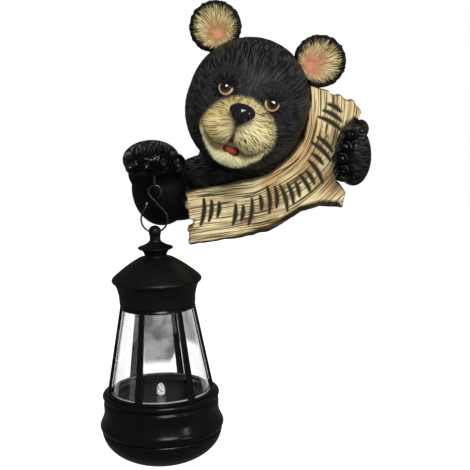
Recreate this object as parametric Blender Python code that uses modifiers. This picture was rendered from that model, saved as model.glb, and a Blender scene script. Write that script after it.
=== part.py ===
"""Bear head and paws over a bent board, one wall-hung casting, with a lantern on an S-hook.

Metres, +Z up, the front faces -Y. The origin is on the flat back, behind the middle of the head.
Run with: blender --background --python part.py
"""
import math

import bmesh
import bpy
from mathutils import Matrix, Vector

MM = 0.001

# Clearance that touching pieces keep
FIT = 0.3 * MM

# The figure: its pose and carving are shares of the head's radius
HEAD_RADIUS = 41.8 * MM
HEAD_CENTRE = (0.0, -0.81, 0.0)
HEAD_DEPTH = 0.96
HEAD_ROLL = math.radians(19.5)
HEAD_YAW = math.radians(-3.5)
EYE_RADIUS = 0.115
HANGER_SIDESTEP = 0.06

# The board
BOARD_FRONT = 41.0 * MM
BOARD_THICKNESS = 17.0 * MM
BOARD_EDGE_ROUND = 2.0 * MM
BACKING_INSET = 5.0 * MM
BACKING_SPARE = 4.0 * MM
GOUGE_RADIUS = 1.15 * MM
GOUGE_DEPTH = 0.9 * MM
GOUGE_LENGTH = 17.0 * MM
GOUGE_PITCH = 5.4 * MM
GOUGE_POINTS = 5
GOUGE_LEAN = 0.3

# How finely the casting is formed, and how many triangles it keeps
CASTING_VOXEL = 1.3 * MM
CASTING_TRIANGLES = 3000

# Blind hole in the back for a nail
NAIL_HOLE_RADIUS = 1.9 * MM
NAIL_HOLE_DEPTH = 14.0 * MM
NAIL_HOLE_HEIGHT = 10.0 * MM

# Wires
WIRE_RADIUS = 0.6 * MM
EYE_LOOP_RADIUS = 3.1 * MM
EYE_LEG = 3.6 * MM
EYE_SHANK = 5.0 * MM
HOOK_UPPER_RADIUS = 4.2 * MM
HOOK_LOWER_RADIUS = 8.7 * MM
HOOK_CENTRE_DROP = 18.3 * MM
HOOK_SIDESTEP = -1.1 * MM
HOOK_TIP_TURN = -65.0
HOOK_LOWER_TURN = -250.0
HOOK_TAIL = 8.0 * MM
HANG_DEPTH = 52.0 * MM

# Lantern, top to bottom
KNOB_RADIUS = 4.3 * MM
KNOB_HOLE_RADIUS = 1.7 * MM
NECK_RADIUS = 3.6 * MM
FLANGE_RADIUS = 11.9 * MM
FLANGE_DROP = 10.5 * MM
COLLAR_RADIUS = 7.2 * MM
COLLAR_DROP = 5.8 * MM
ROOF_RADIUS = 30.0 * MM
ROOF_RISE = 15.6 * MM
ROOF_BAND_RADIUS = 25.2 * MM
ROOF_BAND_DROP = 15.9 * MM
ROOF_WALL = 2.2 * MM
CAGE_HEIGHT = 60.2 * MM
CAGE_RING_HEIGHT = 2.4 * MM
CAGE_SPREAD = 11.1 * MM
RIB_INSET = 0.4 * MM
RIB_TOP_WIDTH = 3.4 * MM
RIB_BOTTOM_WIDTH = 5.2 * MM
RIB_THICKNESS = 2.0 * MM
RIB_SUNK = 0.1 * MM
FOOT_RING_STANDS = 0.8 * MM
RIB_COUNT = 6
RIB_TURN = math.radians(9.0)
CHIMNEY_WALL = 1.2 * MM
CHIMNEY_TUCK = 4.0 * MM
LIP_WIDTH = 4.8 * MM
LIP_ROUND = 2.2 * MM
BAND_SETBACK = 0.7 * MM
BAND_HEIGHT = 19.0 * MM
RIDGE_STANDS = 2.4 * MM
RIDGE_HEIGHT = 7.0 * MM
RIDGE_ROUND = 0.9 * MM
BASE_WALL = 2.2 * MM
FLOOR_SINK = 3.6 * MM
FLOOR_THICKNESS = 2.0 * MM
BOWL_INSET = 1.4 * MM
BOWL_DEPTH = 23.8 * MM
BOWL_WALL = 1.8 * MM
LED_RADIUS = 2.9 * MM
LED_HEIGHT = 8.0 * MM
TURN_STEPS = 26
LED_STEPS = 14
WELD = 0.00001

for old in list(bpy.data.objects):
    bpy.data.objects.remove(old, do_unlink=True)

parts = bpy.data.collections.new("solar_bear_garden_statue")
cutters = bpy.data.collections.new("cutters")
bpy.context.scene.collection.children.link(parts)
bpy.context.scene.collection.children.link(cutters)


def material(name, colour, roughness, metallic=0.0, transmission=0.0):
    mat = bpy.data.materials.new(name)
    mat.use_nodes = True
    shader = mat.node_tree.nodes["Principled BSDF"]
    shader.inputs["Base Color"].default_value = (*colour, 1.0)
    shader.inputs["Roughness"].default_value = roughness
    shader.inputs["Metallic"].default_value = metallic
    shader.inputs["Transmission Weight"].default_value = transmission
    return mat


FUR_BLACK = material("fur_black", (0.015, 0.015, 0.016), 0.45)
WIRE_STEEL = material("wire_steel", (0.12, 0.12, 0.12), 0.3, metallic=1.0)
LANTERN_BLACK = material("lantern_black", (0.012, 0.012, 0.013), 0.35)
CLEAR_PLASTIC = material("clear_plastic", (0.95, 0.96, 0.96), 0.05, transmission=1.0)
LED_CLEAR = material("led_clear", (0.9, 0.9, 0.85), 0.05, transmission=0.6)


def put(obj, collection, mat=None):
    """Links obj into one collection only and gives it a material."""
    for home in list(obj.users_collection):
        home.objects.unlink(obj)
    collection.objects.link(obj)
    if collection is cutters:
        obj.hide_render = True
        obj.display_type = "WIRE"
    if mat:
        obj.data.materials.clear()
        obj.data.materials.append(mat)
    return obj


def mesh_object(name, mesh, collection, mat=None):
    return put(bpy.data.objects.new(name, mesh), collection, mat)


def as_mesh(obj):
    """Replaces a curve, or an object with modifiers, by its evaluated mesh, with loose caps welded."""
    bpy.context.view_layer.update()
    evaluated = obj.evaluated_get(bpy.context.evaluated_depsgraph_get())
    mesh = bpy.data.meshes.new_from_object(evaluated)
    form = bmesh.new()
    form.from_mesh(mesh)
    bmesh.ops.remove_doubles(form, verts=form.verts, dist=WELD)
    bmesh.ops.recalc_face_normals(form, faces=form.faces)
    form.to_mesh(mesh)
    form.free()
    made = bpy.data.objects.new(obj.name, mesh)
    made.matrix_world = obj.matrix_world
    home = obj.users_collection[0]
    name = obj.name
    bpy.data.objects.remove(obj, do_unlink=True)
    made.name = name
    return put(made, home)


def join(name, objects):
    """One mesh object holding all these objects' meshes in world space."""
    form = bmesh.new()
    for obj in objects:
        mesh = obj.data.copy()
        mesh.transform(obj.matrix_world)
        form.from_mesh(mesh)
        bpy.data.meshes.remove(mesh)
        bpy.data.objects.remove(obj, do_unlink=True)
    mesh = bpy.data.meshes.new(name)
    form.to_mesh(mesh)
    form.free()
    return mesh_object(name, mesh, parts)


def boolean(target, cutter, operation):
    """An exact Boolean that is applied at once."""
    bpy.context.view_layer.update()
    step = target.modifiers.new(operation.lower(), "BOOLEAN")
    step.operation = operation
    step.solver = "EXACT"
    step.object = cutter
    bpy.context.view_layer.update()
    mesh = bpy.data.meshes.new_from_object(target.evaluated_get(bpy.context.evaluated_depsgraph_get()))
    target.modifiers.clear()
    target.data = mesh


def tube(name, points, radius, collection, mat=None, sides=2):
    """A round wire through points, with closed ends."""
    curve = bpy.data.curves.new(name, "CURVE")
    curve.dimensions = "3D"
    curve.bevel_depth = radius
    curve.bevel_resolution = sides
    curve.use_fill_caps = True
    spline = curve.splines.new("POLY")
    spline.points.add(len(points) - 1)
    for slot, point in zip(spline.points, points):
        slot.co = (*point, 1.0)
    return put(bpy.data.objects.new(name, curve), collection, mat)


def smooth_shade(obj, angle=math.radians(35.0)):
    obj.data.shade_smooth()
    obj.data.set_sharp_from_angle(angle=angle)


def turned(name, profile, location, mat, steps=TURN_STEPS):
    """A profile of (radius, height) pairs, running down its outer side, turned about its axis."""
    mesh = bpy.data.meshes.new(name)
    edges = [(i, i + 1) for i in range(len(profile) - 1)]
    if profile[0][0] > 0.0:
        edges.append((len(profile) - 1, 0))
    mesh.from_pydata([(radius, 0.0, height) for radius, height in profile], edges, [])
    obj = mesh_object(name, mesh, parts, mat)
    obj.location = location
    screw = obj.modifiers.new("turn", "SCREW")
    screw.steps = steps
    screw.render_steps = steps
    screw.use_merge_vertices = True
    screw.merge_threshold = WELD
    screw.use_smooth_shade = True
    return obj


def arc(centre, radius, start, end, count):
    """Points on a circle in a plane of (across, up), start and end in degrees."""
    turns = [math.radians(start + (end - start) * i / (count - 1)) for i in range(count)]
    return [(centre[0] + radius * math.cos(a), centre[1] + radius * math.sin(a)) for a in turns]


# The figure's frames: the whole figure in shares of the head's radius, and the face on it
FIGURE = Matrix.Scale(HEAD_RADIUS, 4)
FACE = (FIGURE @ Matrix.Translation(HEAD_CENTRE) @ Matrix.Rotation(HEAD_ROLL, 4, "Y")
        @ Matrix.Rotation(HEAD_YAW, 4, "Z"))

EAR_CENTRES = [(side * 0.862, -0.05, 0.928) for side in (-1, 1)]
EAR_RADII = (0.41, 0.17, 0.41)
EAR_DISH = (0.33, 0.15, 0.33)
EYE_CENTRES = [(side * 0.362, -0.855, 0.105) for side in (-1, 1)]
NOSE = ((0.0, -1.46, -0.17), (0.18, 0.13, 0.155))
MOUTH = ((0.0, -1.42, -0.70), (0.12, 0.14, 0.075))

FACE_LUMPS = [
    ((0.0, 0.0, 0.0), (0.97, HEAD_DEPTH, 1.0)),
    ((0.0, 0.04, -0.15), (0.98, 0.90, 1.0)),
    ((0.0, -0.86, -0.40), (0.54, 0.60, 0.43)),
    ((-0.20, -1.03, -0.43), (0.35, 0.42, 0.29)),
    ((0.20, -1.03, -0.43), (0.35, 0.42, 0.29)),
    ((0.0, -0.92, -0.70), (0.36, 0.42, 0.24)),
    NOSE,
]

LEFT_PAW = ((-1.58, -1.00, -0.87), (0.45, 0.53, 0.30))
BODY_LUMPS = [
    ((0.05, -0.36, -0.95), (0.90, 0.50, 0.60)),
    ((-0.67, -0.48, -1.20), (0.58, 0.46, 0.34)),
    ((-1.46, -0.52, -1.39), (0.49, 0.53, 0.62)),
    ((-1.18, -0.44, -1.55), (0.46, 0.44, 0.40)),
    LEFT_PAW,
    ((1.55, -0.35, -0.90), (0.36, 0.45, 0.50)),
    ((1.615, -1.02, -0.885), (0.29, 0.36, 0.49)),
    ((1.76, -0.85, -0.49), (0.13, 0.25, 0.15)),
]

# Toes and claws: where each paw's claws come out, left paw hanging forward, right paw round the board
LEFT_TOES = [(-1.84, -0.92), (-1.60, -0.91), (-1.36, -0.88), (-1.15, -0.91)]
RIGHT_TOES = [(1.54, -0.55), (1.46, -0.74), (1.40, -0.93), (1.42, -1.12)]
LEFT_TOE_FORWARD = -1.33
RIGHT_TOE_FORWARD = -1.20


def lump(centre, radii, frame, name="lump"):
    """An ellipsoid in a frame, as clay is built up."""
    form = bmesh.new()
    bmesh.ops.create_uvsphere(form, u_segments=32, v_segments=20, radius=1.0)
    mesh = bpy.data.meshes.new(name)
    form.to_mesh(mesh)
    form.free()
    mesh.transform(frame @ Matrix.Translation(centre) @ Matrix.Diagonal((*radii, 1.0)))
    return mesh_object(name, mesh, parts)


def board_outline():
    """The board seen from the front, in shares: a ragged bent plank that follows the head's round."""
    top_end = [(1.25, 0.13), (1.38, 0.06), (1.57, -0.02), (1.69, -0.11), (1.74, -0.22), (1.72, -0.35)]
    right_edge = [(1.50, -0.55), (1.41, -0.83), (1.35, -1.05), (1.36, -1.30), (1.51, -1.49), (1.45, -1.74)]
    bottom_edge = [(1.08, -1.72), (0.80, -1.79), (0.55, -1.94), (0.27, -2.10), (-0.16, -2.19), (-0.59, -2.24)]
    left_end = [(-1.02, -2.275), (-1.045, -2.12), (-0.965, -1.90), (-1.0, -1.79), (-1.07, -1.65),
                (-1.065, -1.43)]
    inner_edge = [(-0.84, -1.38), (-0.45, -1.32), (-0.01, -1.265)]
    turns = ((-75.0, 1.205), (-56.0, 1.11), (-37.0, 1.07), (-18.0, 1.0), (0.0, 1.0), (13.0, 1.04))
    round_head = [(r * math.cos(math.radians(a)), r * math.sin(math.radians(a))) for a, r in turns]
    return top_end + right_edge + bottom_edge + left_end + inner_edge + round_head


def slab(name, back, front, inset, edge_round):
    """The board's outline as a slab between two depths, with its edge rounded."""
    curve = bpy.data.curves.new(name, "CURVE")
    curve.dimensions = "2D"
    curve.fill_mode = "BOTH"
    curve.extrude = (front - back) / 2.0 - edge_round
    curve.bevel_depth = edge_round
    curve.bevel_resolution = 1
    curve.offset = -inset - edge_round
    outline = board_outline()
    spline = curve.splines.new("POLY")
    spline.points.add(len(outline) - 1)
    for slot, (across, up) in zip(spline.points, outline):
        slot.co = (across * HEAD_RADIUS, up * HEAD_RADIUS, 0.0, 1.0)
    spline.use_cyclic_u = True
    obj = put(bpy.data.objects.new(name, curve), parts)
    upright = Matrix.Rotation(math.radians(90.0), 4, "X")
    obj.matrix_world = Matrix.Translation((0.0, -(front + back) / 2.0, 0.0)) @ upright
    return as_mesh(obj)


def paw_toes(toes, forward, radii, claw_radii, claw_step):
    made = []
    for across, up in toes:
        made.append(lump((across, forward, up), radii, FIGURE))
        tip = (across + claw_step[0], forward + claw_step[1], up + claw_step[2])
        made.append(lump(tip, claw_radii, FIGURE))
    return made


def gouge_paths():
    """Seven clusters of short curved gouges along the board, in place of words."""
    places = [(-0.67, -1.73, 8.0), (-0.16, -1.78, 8.0), (0.26, -1.58, 20.0), (0.62, -1.49, 32.0),
              (0.94, -1.24, 48.0), (1.12, -0.83, 62.0), (1.30, -0.27, 74.0)]
    paths = []
    for number, (across, up, turn) in enumerate(places):
        frame = Matrix.Translation((across * HEAD_RADIUS, 0.0, up * HEAD_RADIUS)) @ Matrix.Rotation(
            -math.radians(turn), 4, "Y")
        for k in range(3):
            length = GOUGE_LENGTH * (1.0 - 0.22 * ((number + k) % 3))
            bow = 0.07 * length
            path = []
            for i in range(GOUGE_POINTS):
                s = i / (GOUGE_POINTS - 1) - 0.5
                across_row = (k - 1) * GOUGE_PITCH + GOUGE_LEAN * s * length + bow * (1.0 - 4.0 * s * s)
                point = frame @ Vector((across_row, 0.0, s * length))
                point.y = -BOARD_FRONT - GOUGE_RADIUS + GOUGE_DEPTH
                path.append(point)
            paths.append(path)
    return paths


def bear_casting():
    forms = [lump(centre, radii, FACE) for centre, radii in FACE_LUMPS]
    forms += [lump(centre, (EYE_RADIUS,) * 3, FACE) for centre in EYE_CENTRES]
    for centre in EAR_CENTRES:
        ear = lump(centre, EAR_RADII, FACE, "ear")
        dish = lump((centre[0], centre[1] - EAR_RADII[1], centre[2]), EAR_DISH, FACE, "ear_dish")
        boolean(ear, dish, "DIFFERENCE")
        put(dish, cutters)
        forms.append(ear)
    forms += [lump(centre, radii, FIGURE) for centre, radii in BODY_LUMPS]
    forms += paw_toes(LEFT_TOES, LEFT_TOE_FORWARD, (0.13, 0.2, 0.15), (0.065, 0.07, 0.09), (0.0, -0.17, 0.02))
    forms += paw_toes(RIGHT_TOES, RIGHT_TOE_FORWARD, (0.15, 0.2, 0.115), (0.09, 0.07, 0.06), (-0.08, -0.15, 0.0))
    forms.append(slab("board", BOARD_FRONT - BOARD_THICKNESS, BOARD_FRONT, 0.0, BOARD_EDGE_ROUND))
    board_middle = BOARD_FRONT - BOARD_THICKNESS / 2.0
    forms.append(slab("backing", -BACKING_SPARE, board_middle, BACKING_INSET, BOARD_EDGE_ROUND))
    bear = join("bear_casting", forms)
    remesh = bear.modifiers.new("one_casting", "REMESH")
    remesh.mode = "VOXEL"
    remesh.voxel_size = CASTING_VOXEL
    soften = bear.modifiers.new("soften", "SMOOTH")
    soften.factor = 0.5
    soften.iterations = 3
    bear = as_mesh(bear)
    mouth = put(lump(MOUTH[0], MOUTH[1], FACE, "mouth_cut"), cutters)
    boolean(bear, mouth, "DIFFERENCE")
    thin = bear.modifiers.new("fewer_faces", "DECIMATE")
    thin.ratio = CASTING_TRIANGLES / (2.0 * len(bear.data.polygons))
    thin.use_collapse_triangulate = True
    bear = as_mesh(bear)
    return bear


def box(name, low, high, collection):
    form = bmesh.new()
    bmesh.ops.create_cube(form, size=1.0)
    mesh = bpy.data.meshes.new(name)
    form.to_mesh(mesh)
    form.free()
    low = Vector(low)
    high = Vector(high)
    mesh.transform(Matrix.Translation((low + high) / 2.0) @ Matrix.Diagonal((*(high - low), 1.0)))
    return mesh_object(name, mesh, collection)


def eye_path(across, paw_face, shank):
    """The wire eye under the paw: two legs that go up into it, and a round bow below."""
    loop_z = paw_face - EYE_LEG
    bow = arc((0.0, loop_z), EYE_LOOP_RADIUS, 180.0, 360.0, 11)
    top = paw_face + shank
    path = [(-EYE_LOOP_RADIUS, top), (-EYE_LOOP_RADIUS, paw_face)] + bow
    path += [(EYE_LOOP_RADIUS, paw_face), (EYE_LOOP_RADIUS, top)]
    return [(across, -HANG_DEPTH + y, z) for y, z in path]


def hook_circles(across, eye_bottom):
    """Centres of the S-hook's two bows: the upper one rests on the eye, the lower one holds the lantern."""
    upper = Vector((across, eye_bottom + 2.0 * WIRE_RADIUS + FIT - HOOK_UPPER_RADIUS))
    lower = upper + Vector((HOOK_SIDESTEP, -HOOK_CENTRE_DROP))
    return upper, lower


def hook_path(upper, lower):
    """The S-hook from its upper tip over the eye, down across to the lower bow and up to the lower tip."""
    gap = lower - upper
    bearing = math.degrees(math.atan2(gap.y, gap.x))
    lean = math.degrees(math.acos((HOOK_UPPER_RADIUS + HOOK_LOWER_RADIUS) / gap.length))
    leave = bearing - lean
    enter = leave + 180.0
    path = arc(upper, HOOK_UPPER_RADIUS, HOOK_TIP_TURN, leave + 360.0, 14)
    path += arc(lower, HOOK_LOWER_RADIUS, enter, enter + HOOK_LOWER_TURN, 16)
    end = Vector(path[-1])
    run = (end - Vector(path[-2])).normalized()
    path += [tuple(end + run * HOOK_TAIL * share) for share in (0.5, 1.0)]
    return [(x, -HANG_DEPTH, z) for x, z in path]


def lantern_roof(place, knob_hole):
    """Knob, flange, domed roof and band in one moulding, hollow from below, with a hole through the knob."""
    flange = -FLANGE_DROP
    collar = flange - COLLAR_DROP
    rim = collar - ROOF_RISE
    band = rim - ROOF_BAND_DROP
    neck_turn = -math.degrees(math.acos(NECK_RADIUS / KNOB_RADIUS))
    profile = [(0.0, KNOB_RADIUS)] + arc((0.0, 0.0), KNOB_RADIUS, 72.0, neck_turn, 6)
    profile.append((NECK_RADIUS, flange * 0.5))
    flange_shares = [(0.08, 0.37), (0.60, 0.13), (0.93, 0.06), (1.0, 0.0), (0.93, -0.06), (0.62, -0.15)]
    for share, lift in flange_shares:
        profile.append((NECK_RADIUS + share * (FLANGE_RADIUS - NECK_RADIUS), flange * (1.0 - lift)))
    profile.append((COLLAR_RADIUS * 1.04, collar + 0.28 * COLLAR_DROP))
    profile.append((COLLAR_RADIUS, collar))
    roof_shares = [(0.35, 0.03), (0.45, 0.13), (0.635, 0.36), (0.80, 0.60), (0.955, 0.85), (0.99, 0.93),
                   (1.0, 1.0), (0.985, 1.06), (0.95, 1.09), (0.925, 1.16), (0.895, 1.30)]
    for out, down in roof_shares:
        profile.append((ROOF_RADIUS * out, collar - ROOF_RISE * down))
    profile.append((ROOF_BAND_RADIUS * 1.03, rim - 0.52 * ROOF_BAND_DROP))
    profile.append((ROOF_BAND_RADIUS * 1.01, rim - 0.66 * ROOF_BAND_DROP))
    profile.append((ROOF_BAND_RADIUS, band))
    inner = ROOF_BAND_RADIUS - ROOF_WALL
    profile.append((inner, band))
    profile.append((inner, rim - 0.40 * ROOF_BAND_DROP))
    profile.append((ROOF_RADIUS * 0.86, rim + 0.02 * ROOF_RISE))
    profile.append((ROOF_RADIUS * 0.45, collar - 0.36 * ROOF_RISE))
    profile.append((0.0, collar - 0.30 * ROOF_RISE))
    roof = as_mesh(turned("lantern_roof", profile, place, LANTERN_BLACK))
    span = 2.0 * KNOB_RADIUS
    hole = tube("knob_hole", [(place[0] - span, place[1], knob_hole), (place[0] + span, place[1], knob_hole)],
                KNOB_HOLE_RADIUS, cutters, sides=3)
    boolean(roof, as_mesh(hole), "DIFFERENCE")
    put(roof, parts, LANTERN_BLACK)
    smooth_shade(roof)
    return band


def rib_outer(drop):
    """Radius of the ribs' outer face at a drop below the band."""
    return ROOF_BAND_RADIUS - RIB_INSET + CAGE_SPREAD * drop / CAGE_HEIGHT


def chimney_outer(drop):
    return rib_outer(drop) - RIB_THICKNESS - FIT


def lantern_cage(place, band):
    """Six tapered ribs between two rings."""
    top = FIT
    bottom = CAGE_HEIGHT
    rings = []
    bottom_ring = bottom - CAGE_RING_HEIGHT
    for name, drop, width in (("top_ring", top, 0.0), ("bottom_ring", bottom_ring, FOOT_RING_STANDS)):
        low = drop + CAGE_RING_HEIGHT
        profile = [(rib_outer(drop) + width, band - drop), (rib_outer(low) + width, band - low),
                   (chimney_outer(low) + FIT, band - low), (chimney_outer(low) + FIT, band - drop)]
        rings.append(as_mesh(turned(name, profile, place, LANTERN_BLACK)))
    forms = []
    end_overlap = 0.3 * CAGE_RING_HEIGHT
    for number in range(RIB_COUNT):
        form = bmesh.new()
        bmesh.ops.create_cube(form, size=1.0)
        for vert in form.verts:
            drop = top + end_overlap if vert.co.z > 0.0 else bottom - end_overlap
            width = RIB_TOP_WIDTH if vert.co.z > 0.0 else RIB_BOTTOM_WIDTH
            outer = rib_outer(drop) - RIB_SUNK
            reach = outer if vert.co.x > 0.0 else outer - RIB_THICKNESS + RIB_SUNK
            vert.co = (reach, vert.co.y * width, band - drop)
        mesh = bpy.data.meshes.new("rib")
        form.to_mesh(mesh)
        form.free()
        rib = mesh_object("rib", mesh, parts)
        turn = RIB_TURN + 2.0 * math.pi * number / RIB_COUNT
        rib.matrix_world = Matrix.Translation(place) @ Matrix.Rotation(turn, 4, "Z")
        forms.append(rib)
    bpy.context.view_layer.update()
    ribs = join("ribs", forms)
    cage = rings[0]
    cage.name = "lantern_cage"
    boolean(cage, rings[1], "UNION")
    boolean(cage, ribs, "UNION")
    for used in (rings[1], ribs):
        put(used, cutters)
    put(cage, parts, LANTERN_BLACK)
    smooth_shade(cage)
    return cage


def lantern_chimney(place, band):
    """The clear round wall that tapers up into the roof's band."""
    top = -CHIMNEY_TUCK
    bottom = CAGE_HEIGHT + FLOOR_SINK
    straight = chimney_outer(0.0)
    profile = [(straight, band - top), (straight, band), (chimney_outer(bottom), band - bottom),
               (chimney_outer(bottom) - CHIMNEY_WALL, band - bottom), (straight - CHIMNEY_WALL, band),
               (straight - CHIMNEY_WALL, band - top)]
    return turned("lantern_chimney", profile, place, CLEAR_PLASTIC)


def base_lip(band):
    """Height of the base's upper edge, under the cage."""
    return band - CAGE_HEIGHT - FIT


def base_floor(band):
    """Height of the floor that carries the lamp."""
    return base_lip(band) - FLOOR_SINK


def base_foot(band):
    """Height of the base's lower edge, where the bowl begins."""
    return base_lip(band) - BAND_HEIGHT - RIDGE_HEIGHT


def base_inner():
    """Radius of the well in the base that takes the chimney's foot."""
    return chimney_outer(CAGE_HEIGHT + FLOOR_SINK) + FIT


def lantern_base(place, band):
    """Rounded lip, band, ridge and the floor that carries the lamp, open below."""
    lip = base_lip(band)
    floor = base_floor(band)
    foot = base_foot(band)
    ridge = foot + RIDGE_HEIGHT / 2.0
    inner = base_inner()
    outer = inner + LIP_WIDTH
    waist = outer - BAND_SETBACK
    under = floor - FLOOR_THICKNESS
    wide = outer + RIDGE_STANDS
    profile = [(0.0, floor), (inner, floor), (inner, lip), (inner + 0.45 * LIP_WIDTH, lip)]
    profile += arc((outer - LIP_ROUND, lip - LIP_ROUND), LIP_ROUND, 80.0, -30.0, 5)
    profile += [(waist, lip - 0.32 * BAND_HEIGHT), (waist, lip - 0.75 * BAND_HEIGHT),
                (outer + 0.5 * RIDGE_STANDS, ridge + 0.45 * RIDGE_HEIGHT), (wide, ridge + 0.15 * RIDGE_HEIGHT),
                (wide, ridge - 0.12 * RIDGE_HEIGHT), (wide - RIDGE_ROUND, ridge - 0.4 * RIDGE_HEIGHT),
                (wide - BOWL_INSET, foot), (wide - BOWL_INSET - BASE_WALL, foot),
                (waist - BASE_WALL, lip - 0.75 * BAND_HEIGHT), (waist - BASE_WALL, under), (0.0, under)]
    return turned("lantern_base", profile, place, LANTERN_BLACK)


def lantern_bowl(place, band):
    """The rounded lower cover, hollow, its edge against the base's foot."""
    radius = base_inner() + LIP_WIDTH + RIDGE_STANDS - BOWL_INSET
    rim = base_foot(band) - FIT
    outside = [(radius * math.cos(a), rim - BOWL_DEPTH * math.sin(a))
               for a in [math.radians(90.0 * i / 9.0) for i in range(10)]]
    inside = [((radius - BOWL_WALL) * math.cos(a), rim - (BOWL_DEPTH - BOWL_WALL) * math.sin(a))
              for a in [math.radians(90.0 * i / 6.0) for i in range(7)]]
    outside[-1] = (0.0, outside[-1][1])
    inside[-1] = (0.0, inside[-1][1])
    return turned("lantern_bowl", inside[::-1] + outside, place, LANTERN_BLACK)


def led(place, band):
    """The lamp: a short cylinder with a round top, on the floor."""
    foot_z = base_floor(band) + FIT
    shoulder = foot_z + LED_HEIGHT - LED_RADIUS
    dome = [(LED_RADIUS * math.cos(math.radians(a)), shoulder + LED_RADIUS * math.sin(math.radians(a)))
            for a in (66.0, 44.0, 22.0, 0.0)]
    profile = [(0.0, foot_z + LED_HEIGHT)] + dome + [(LED_RADIUS, foot_z), (0.0, foot_z)]
    return turned("led", profile, place, LED_CLEAR, steps=LED_STEPS)


bear = bear_casting()

# The flat back, the nail hole, the eye's two holes and the gouges are cut last, so they stay exact
cut_span = 4.0 * HEAD_RADIUS
back_cut = box("back_cut", (-cut_span, 0.0, -cut_span), (cut_span, cut_span, cut_span), cutters)
boolean(bear, back_cut, "DIFFERENCE")
nail_ends = [(0.0, end * NAIL_HOLE_DEPTH, NAIL_HOLE_HEIGHT) for end in (1.0, -1.0)]
nail_hole = as_mesh(tube("nail_hole", nail_ends, NAIL_HOLE_RADIUS, cutters, sides=3))
boolean(bear, nail_hole, "DIFFERENCE")

paw_centre = Vector(LEFT_PAW[0]) * HEAD_RADIUS
paw_radii = Vector(LEFT_PAW[1]) * HEAD_RADIUS
eye_across = paw_centre.x + HANGER_SIDESTEP * HEAD_RADIUS
forward = (-HANG_DEPTH - paw_centre.y) / paw_radii.y
paw_face = paw_centre.z - paw_radii.z * math.sqrt(1.0 - forward * forward)
for side in (-1.0, 1.0):
    leg_y = -HANG_DEPTH + side * EYE_LOOP_RADIUS
    leg_ends = [(eye_across, leg_y, height) for height in (paw_face - EYE_LEG, paw_face + EYE_SHANK + FIT)]
    boolean(bear, as_mesh(tube("leg_hole", leg_ends, WIRE_RADIUS + FIT, cutters)), "DIFFERENCE")
for path in gouge_paths():
    boolean(bear, as_mesh(tube("gouge", path, GOUGE_RADIUS, cutters, sides=1)), "DIFFERENCE")
put(bear, parts, FUR_BLACK)
smooth_shade(bear)

as_mesh(tube("paw_eye", eye_path(eye_across, paw_face, EYE_SHANK), WIRE_RADIUS, parts, WIRE_STEEL))
eye_bottom = paw_face - EYE_LEG - EYE_LOOP_RADIUS
upper_bow, lower_bow = hook_circles(eye_across, eye_bottom)
as_mesh(tube("s_hook", hook_path(upper_bow, lower_bow), WIRE_RADIUS, parts, WIRE_STEEL))

# The lantern hangs on the lower bow: the knob's hole bears on the wire where the bow leaves the knob
bow_rise = HOOK_LOWER_RADIUS - math.sqrt(HOOK_LOWER_RADIUS ** 2 - KNOB_RADIUS ** 2)
bow_bottom = lower_bow.y - HOOK_LOWER_RADIUS
knob_hole = bow_bottom + bow_rise + WIRE_RADIUS + FIT - KNOB_HOLE_RADIUS
lantern_place = (lower_bow.x, -HANG_DEPTH, knob_hole)
band = lantern_roof(lantern_place, knob_hole)
lantern_cage(lantern_place, band)
lantern_chimney(lantern_place, band)
lantern_base(lantern_place, band)
lantern_bowl(lantern_place, band)
led(lantern_place, band)
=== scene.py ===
from math import acos, atan2, cos, degrees, pi, radians, sin, sqrt

import bmesh
import bpy
import numpy as np
from mathutils import Matrix, Vector


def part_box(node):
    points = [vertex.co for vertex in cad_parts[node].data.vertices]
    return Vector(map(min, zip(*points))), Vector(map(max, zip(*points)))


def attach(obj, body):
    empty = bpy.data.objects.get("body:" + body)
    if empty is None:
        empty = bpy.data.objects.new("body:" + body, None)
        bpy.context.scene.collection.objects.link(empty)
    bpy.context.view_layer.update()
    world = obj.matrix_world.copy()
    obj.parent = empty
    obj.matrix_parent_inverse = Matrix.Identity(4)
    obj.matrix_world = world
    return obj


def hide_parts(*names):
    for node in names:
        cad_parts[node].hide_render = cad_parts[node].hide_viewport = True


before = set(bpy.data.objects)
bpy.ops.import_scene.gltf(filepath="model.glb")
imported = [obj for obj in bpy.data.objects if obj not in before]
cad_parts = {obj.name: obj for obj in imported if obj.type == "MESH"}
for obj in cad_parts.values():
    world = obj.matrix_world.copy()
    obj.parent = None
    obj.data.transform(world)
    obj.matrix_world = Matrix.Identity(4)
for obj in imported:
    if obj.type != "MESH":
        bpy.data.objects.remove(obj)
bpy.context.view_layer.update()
MM = 0.001

# The room: a pale floor far below, since the figure hangs on a wall at chest height, even white air
# that lights only softly, a soft window light above in front, a tall weak light on each side that
# leaves no reflection, and a small light low on the right for the glints on nose and claws.
FLOOR_HEIGHT = -1.1
WHITE = (1.0, 1.0, 1.0, 1.0)
AIR_ON_PAINT = 0.26
AIR_ON_ALL = 0.10
scene = bpy.context.scene
scene.view_settings.view_transform = "Standard"


def feed(tree, node, inputs):
    """Sets inputs of a node: each is a plain value, an output, or a node that gives its first output."""
    for name, value in inputs.items():
        value = value.outputs[0] if isinstance(value, bpy.types.Node) else value
        if isinstance(value, bpy.types.NodeSocket):
            tree.links.new(value, node.inputs[name])
        else:
            node.inputs[name].default_value = value


def add_node(tree, kind, inputs=(), **settings):
    """Adds a node with its settings and its inputs."""
    node = tree.nodes.new(kind)
    for name, value in settings.items():
        setattr(node, name, value)
    feed(tree, node, dict(inputs))
    return node


def new_paint(name, values):
    """A material with these values on its shader, with its tree and its shader."""
    material = bpy.data.materials.new(name)
    material.use_nodes = True
    shader = material.node_tree.nodes["Principled BSDF"]
    feed(material.node_tree, shader, values)
    return material, material.node_tree, shader


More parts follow.
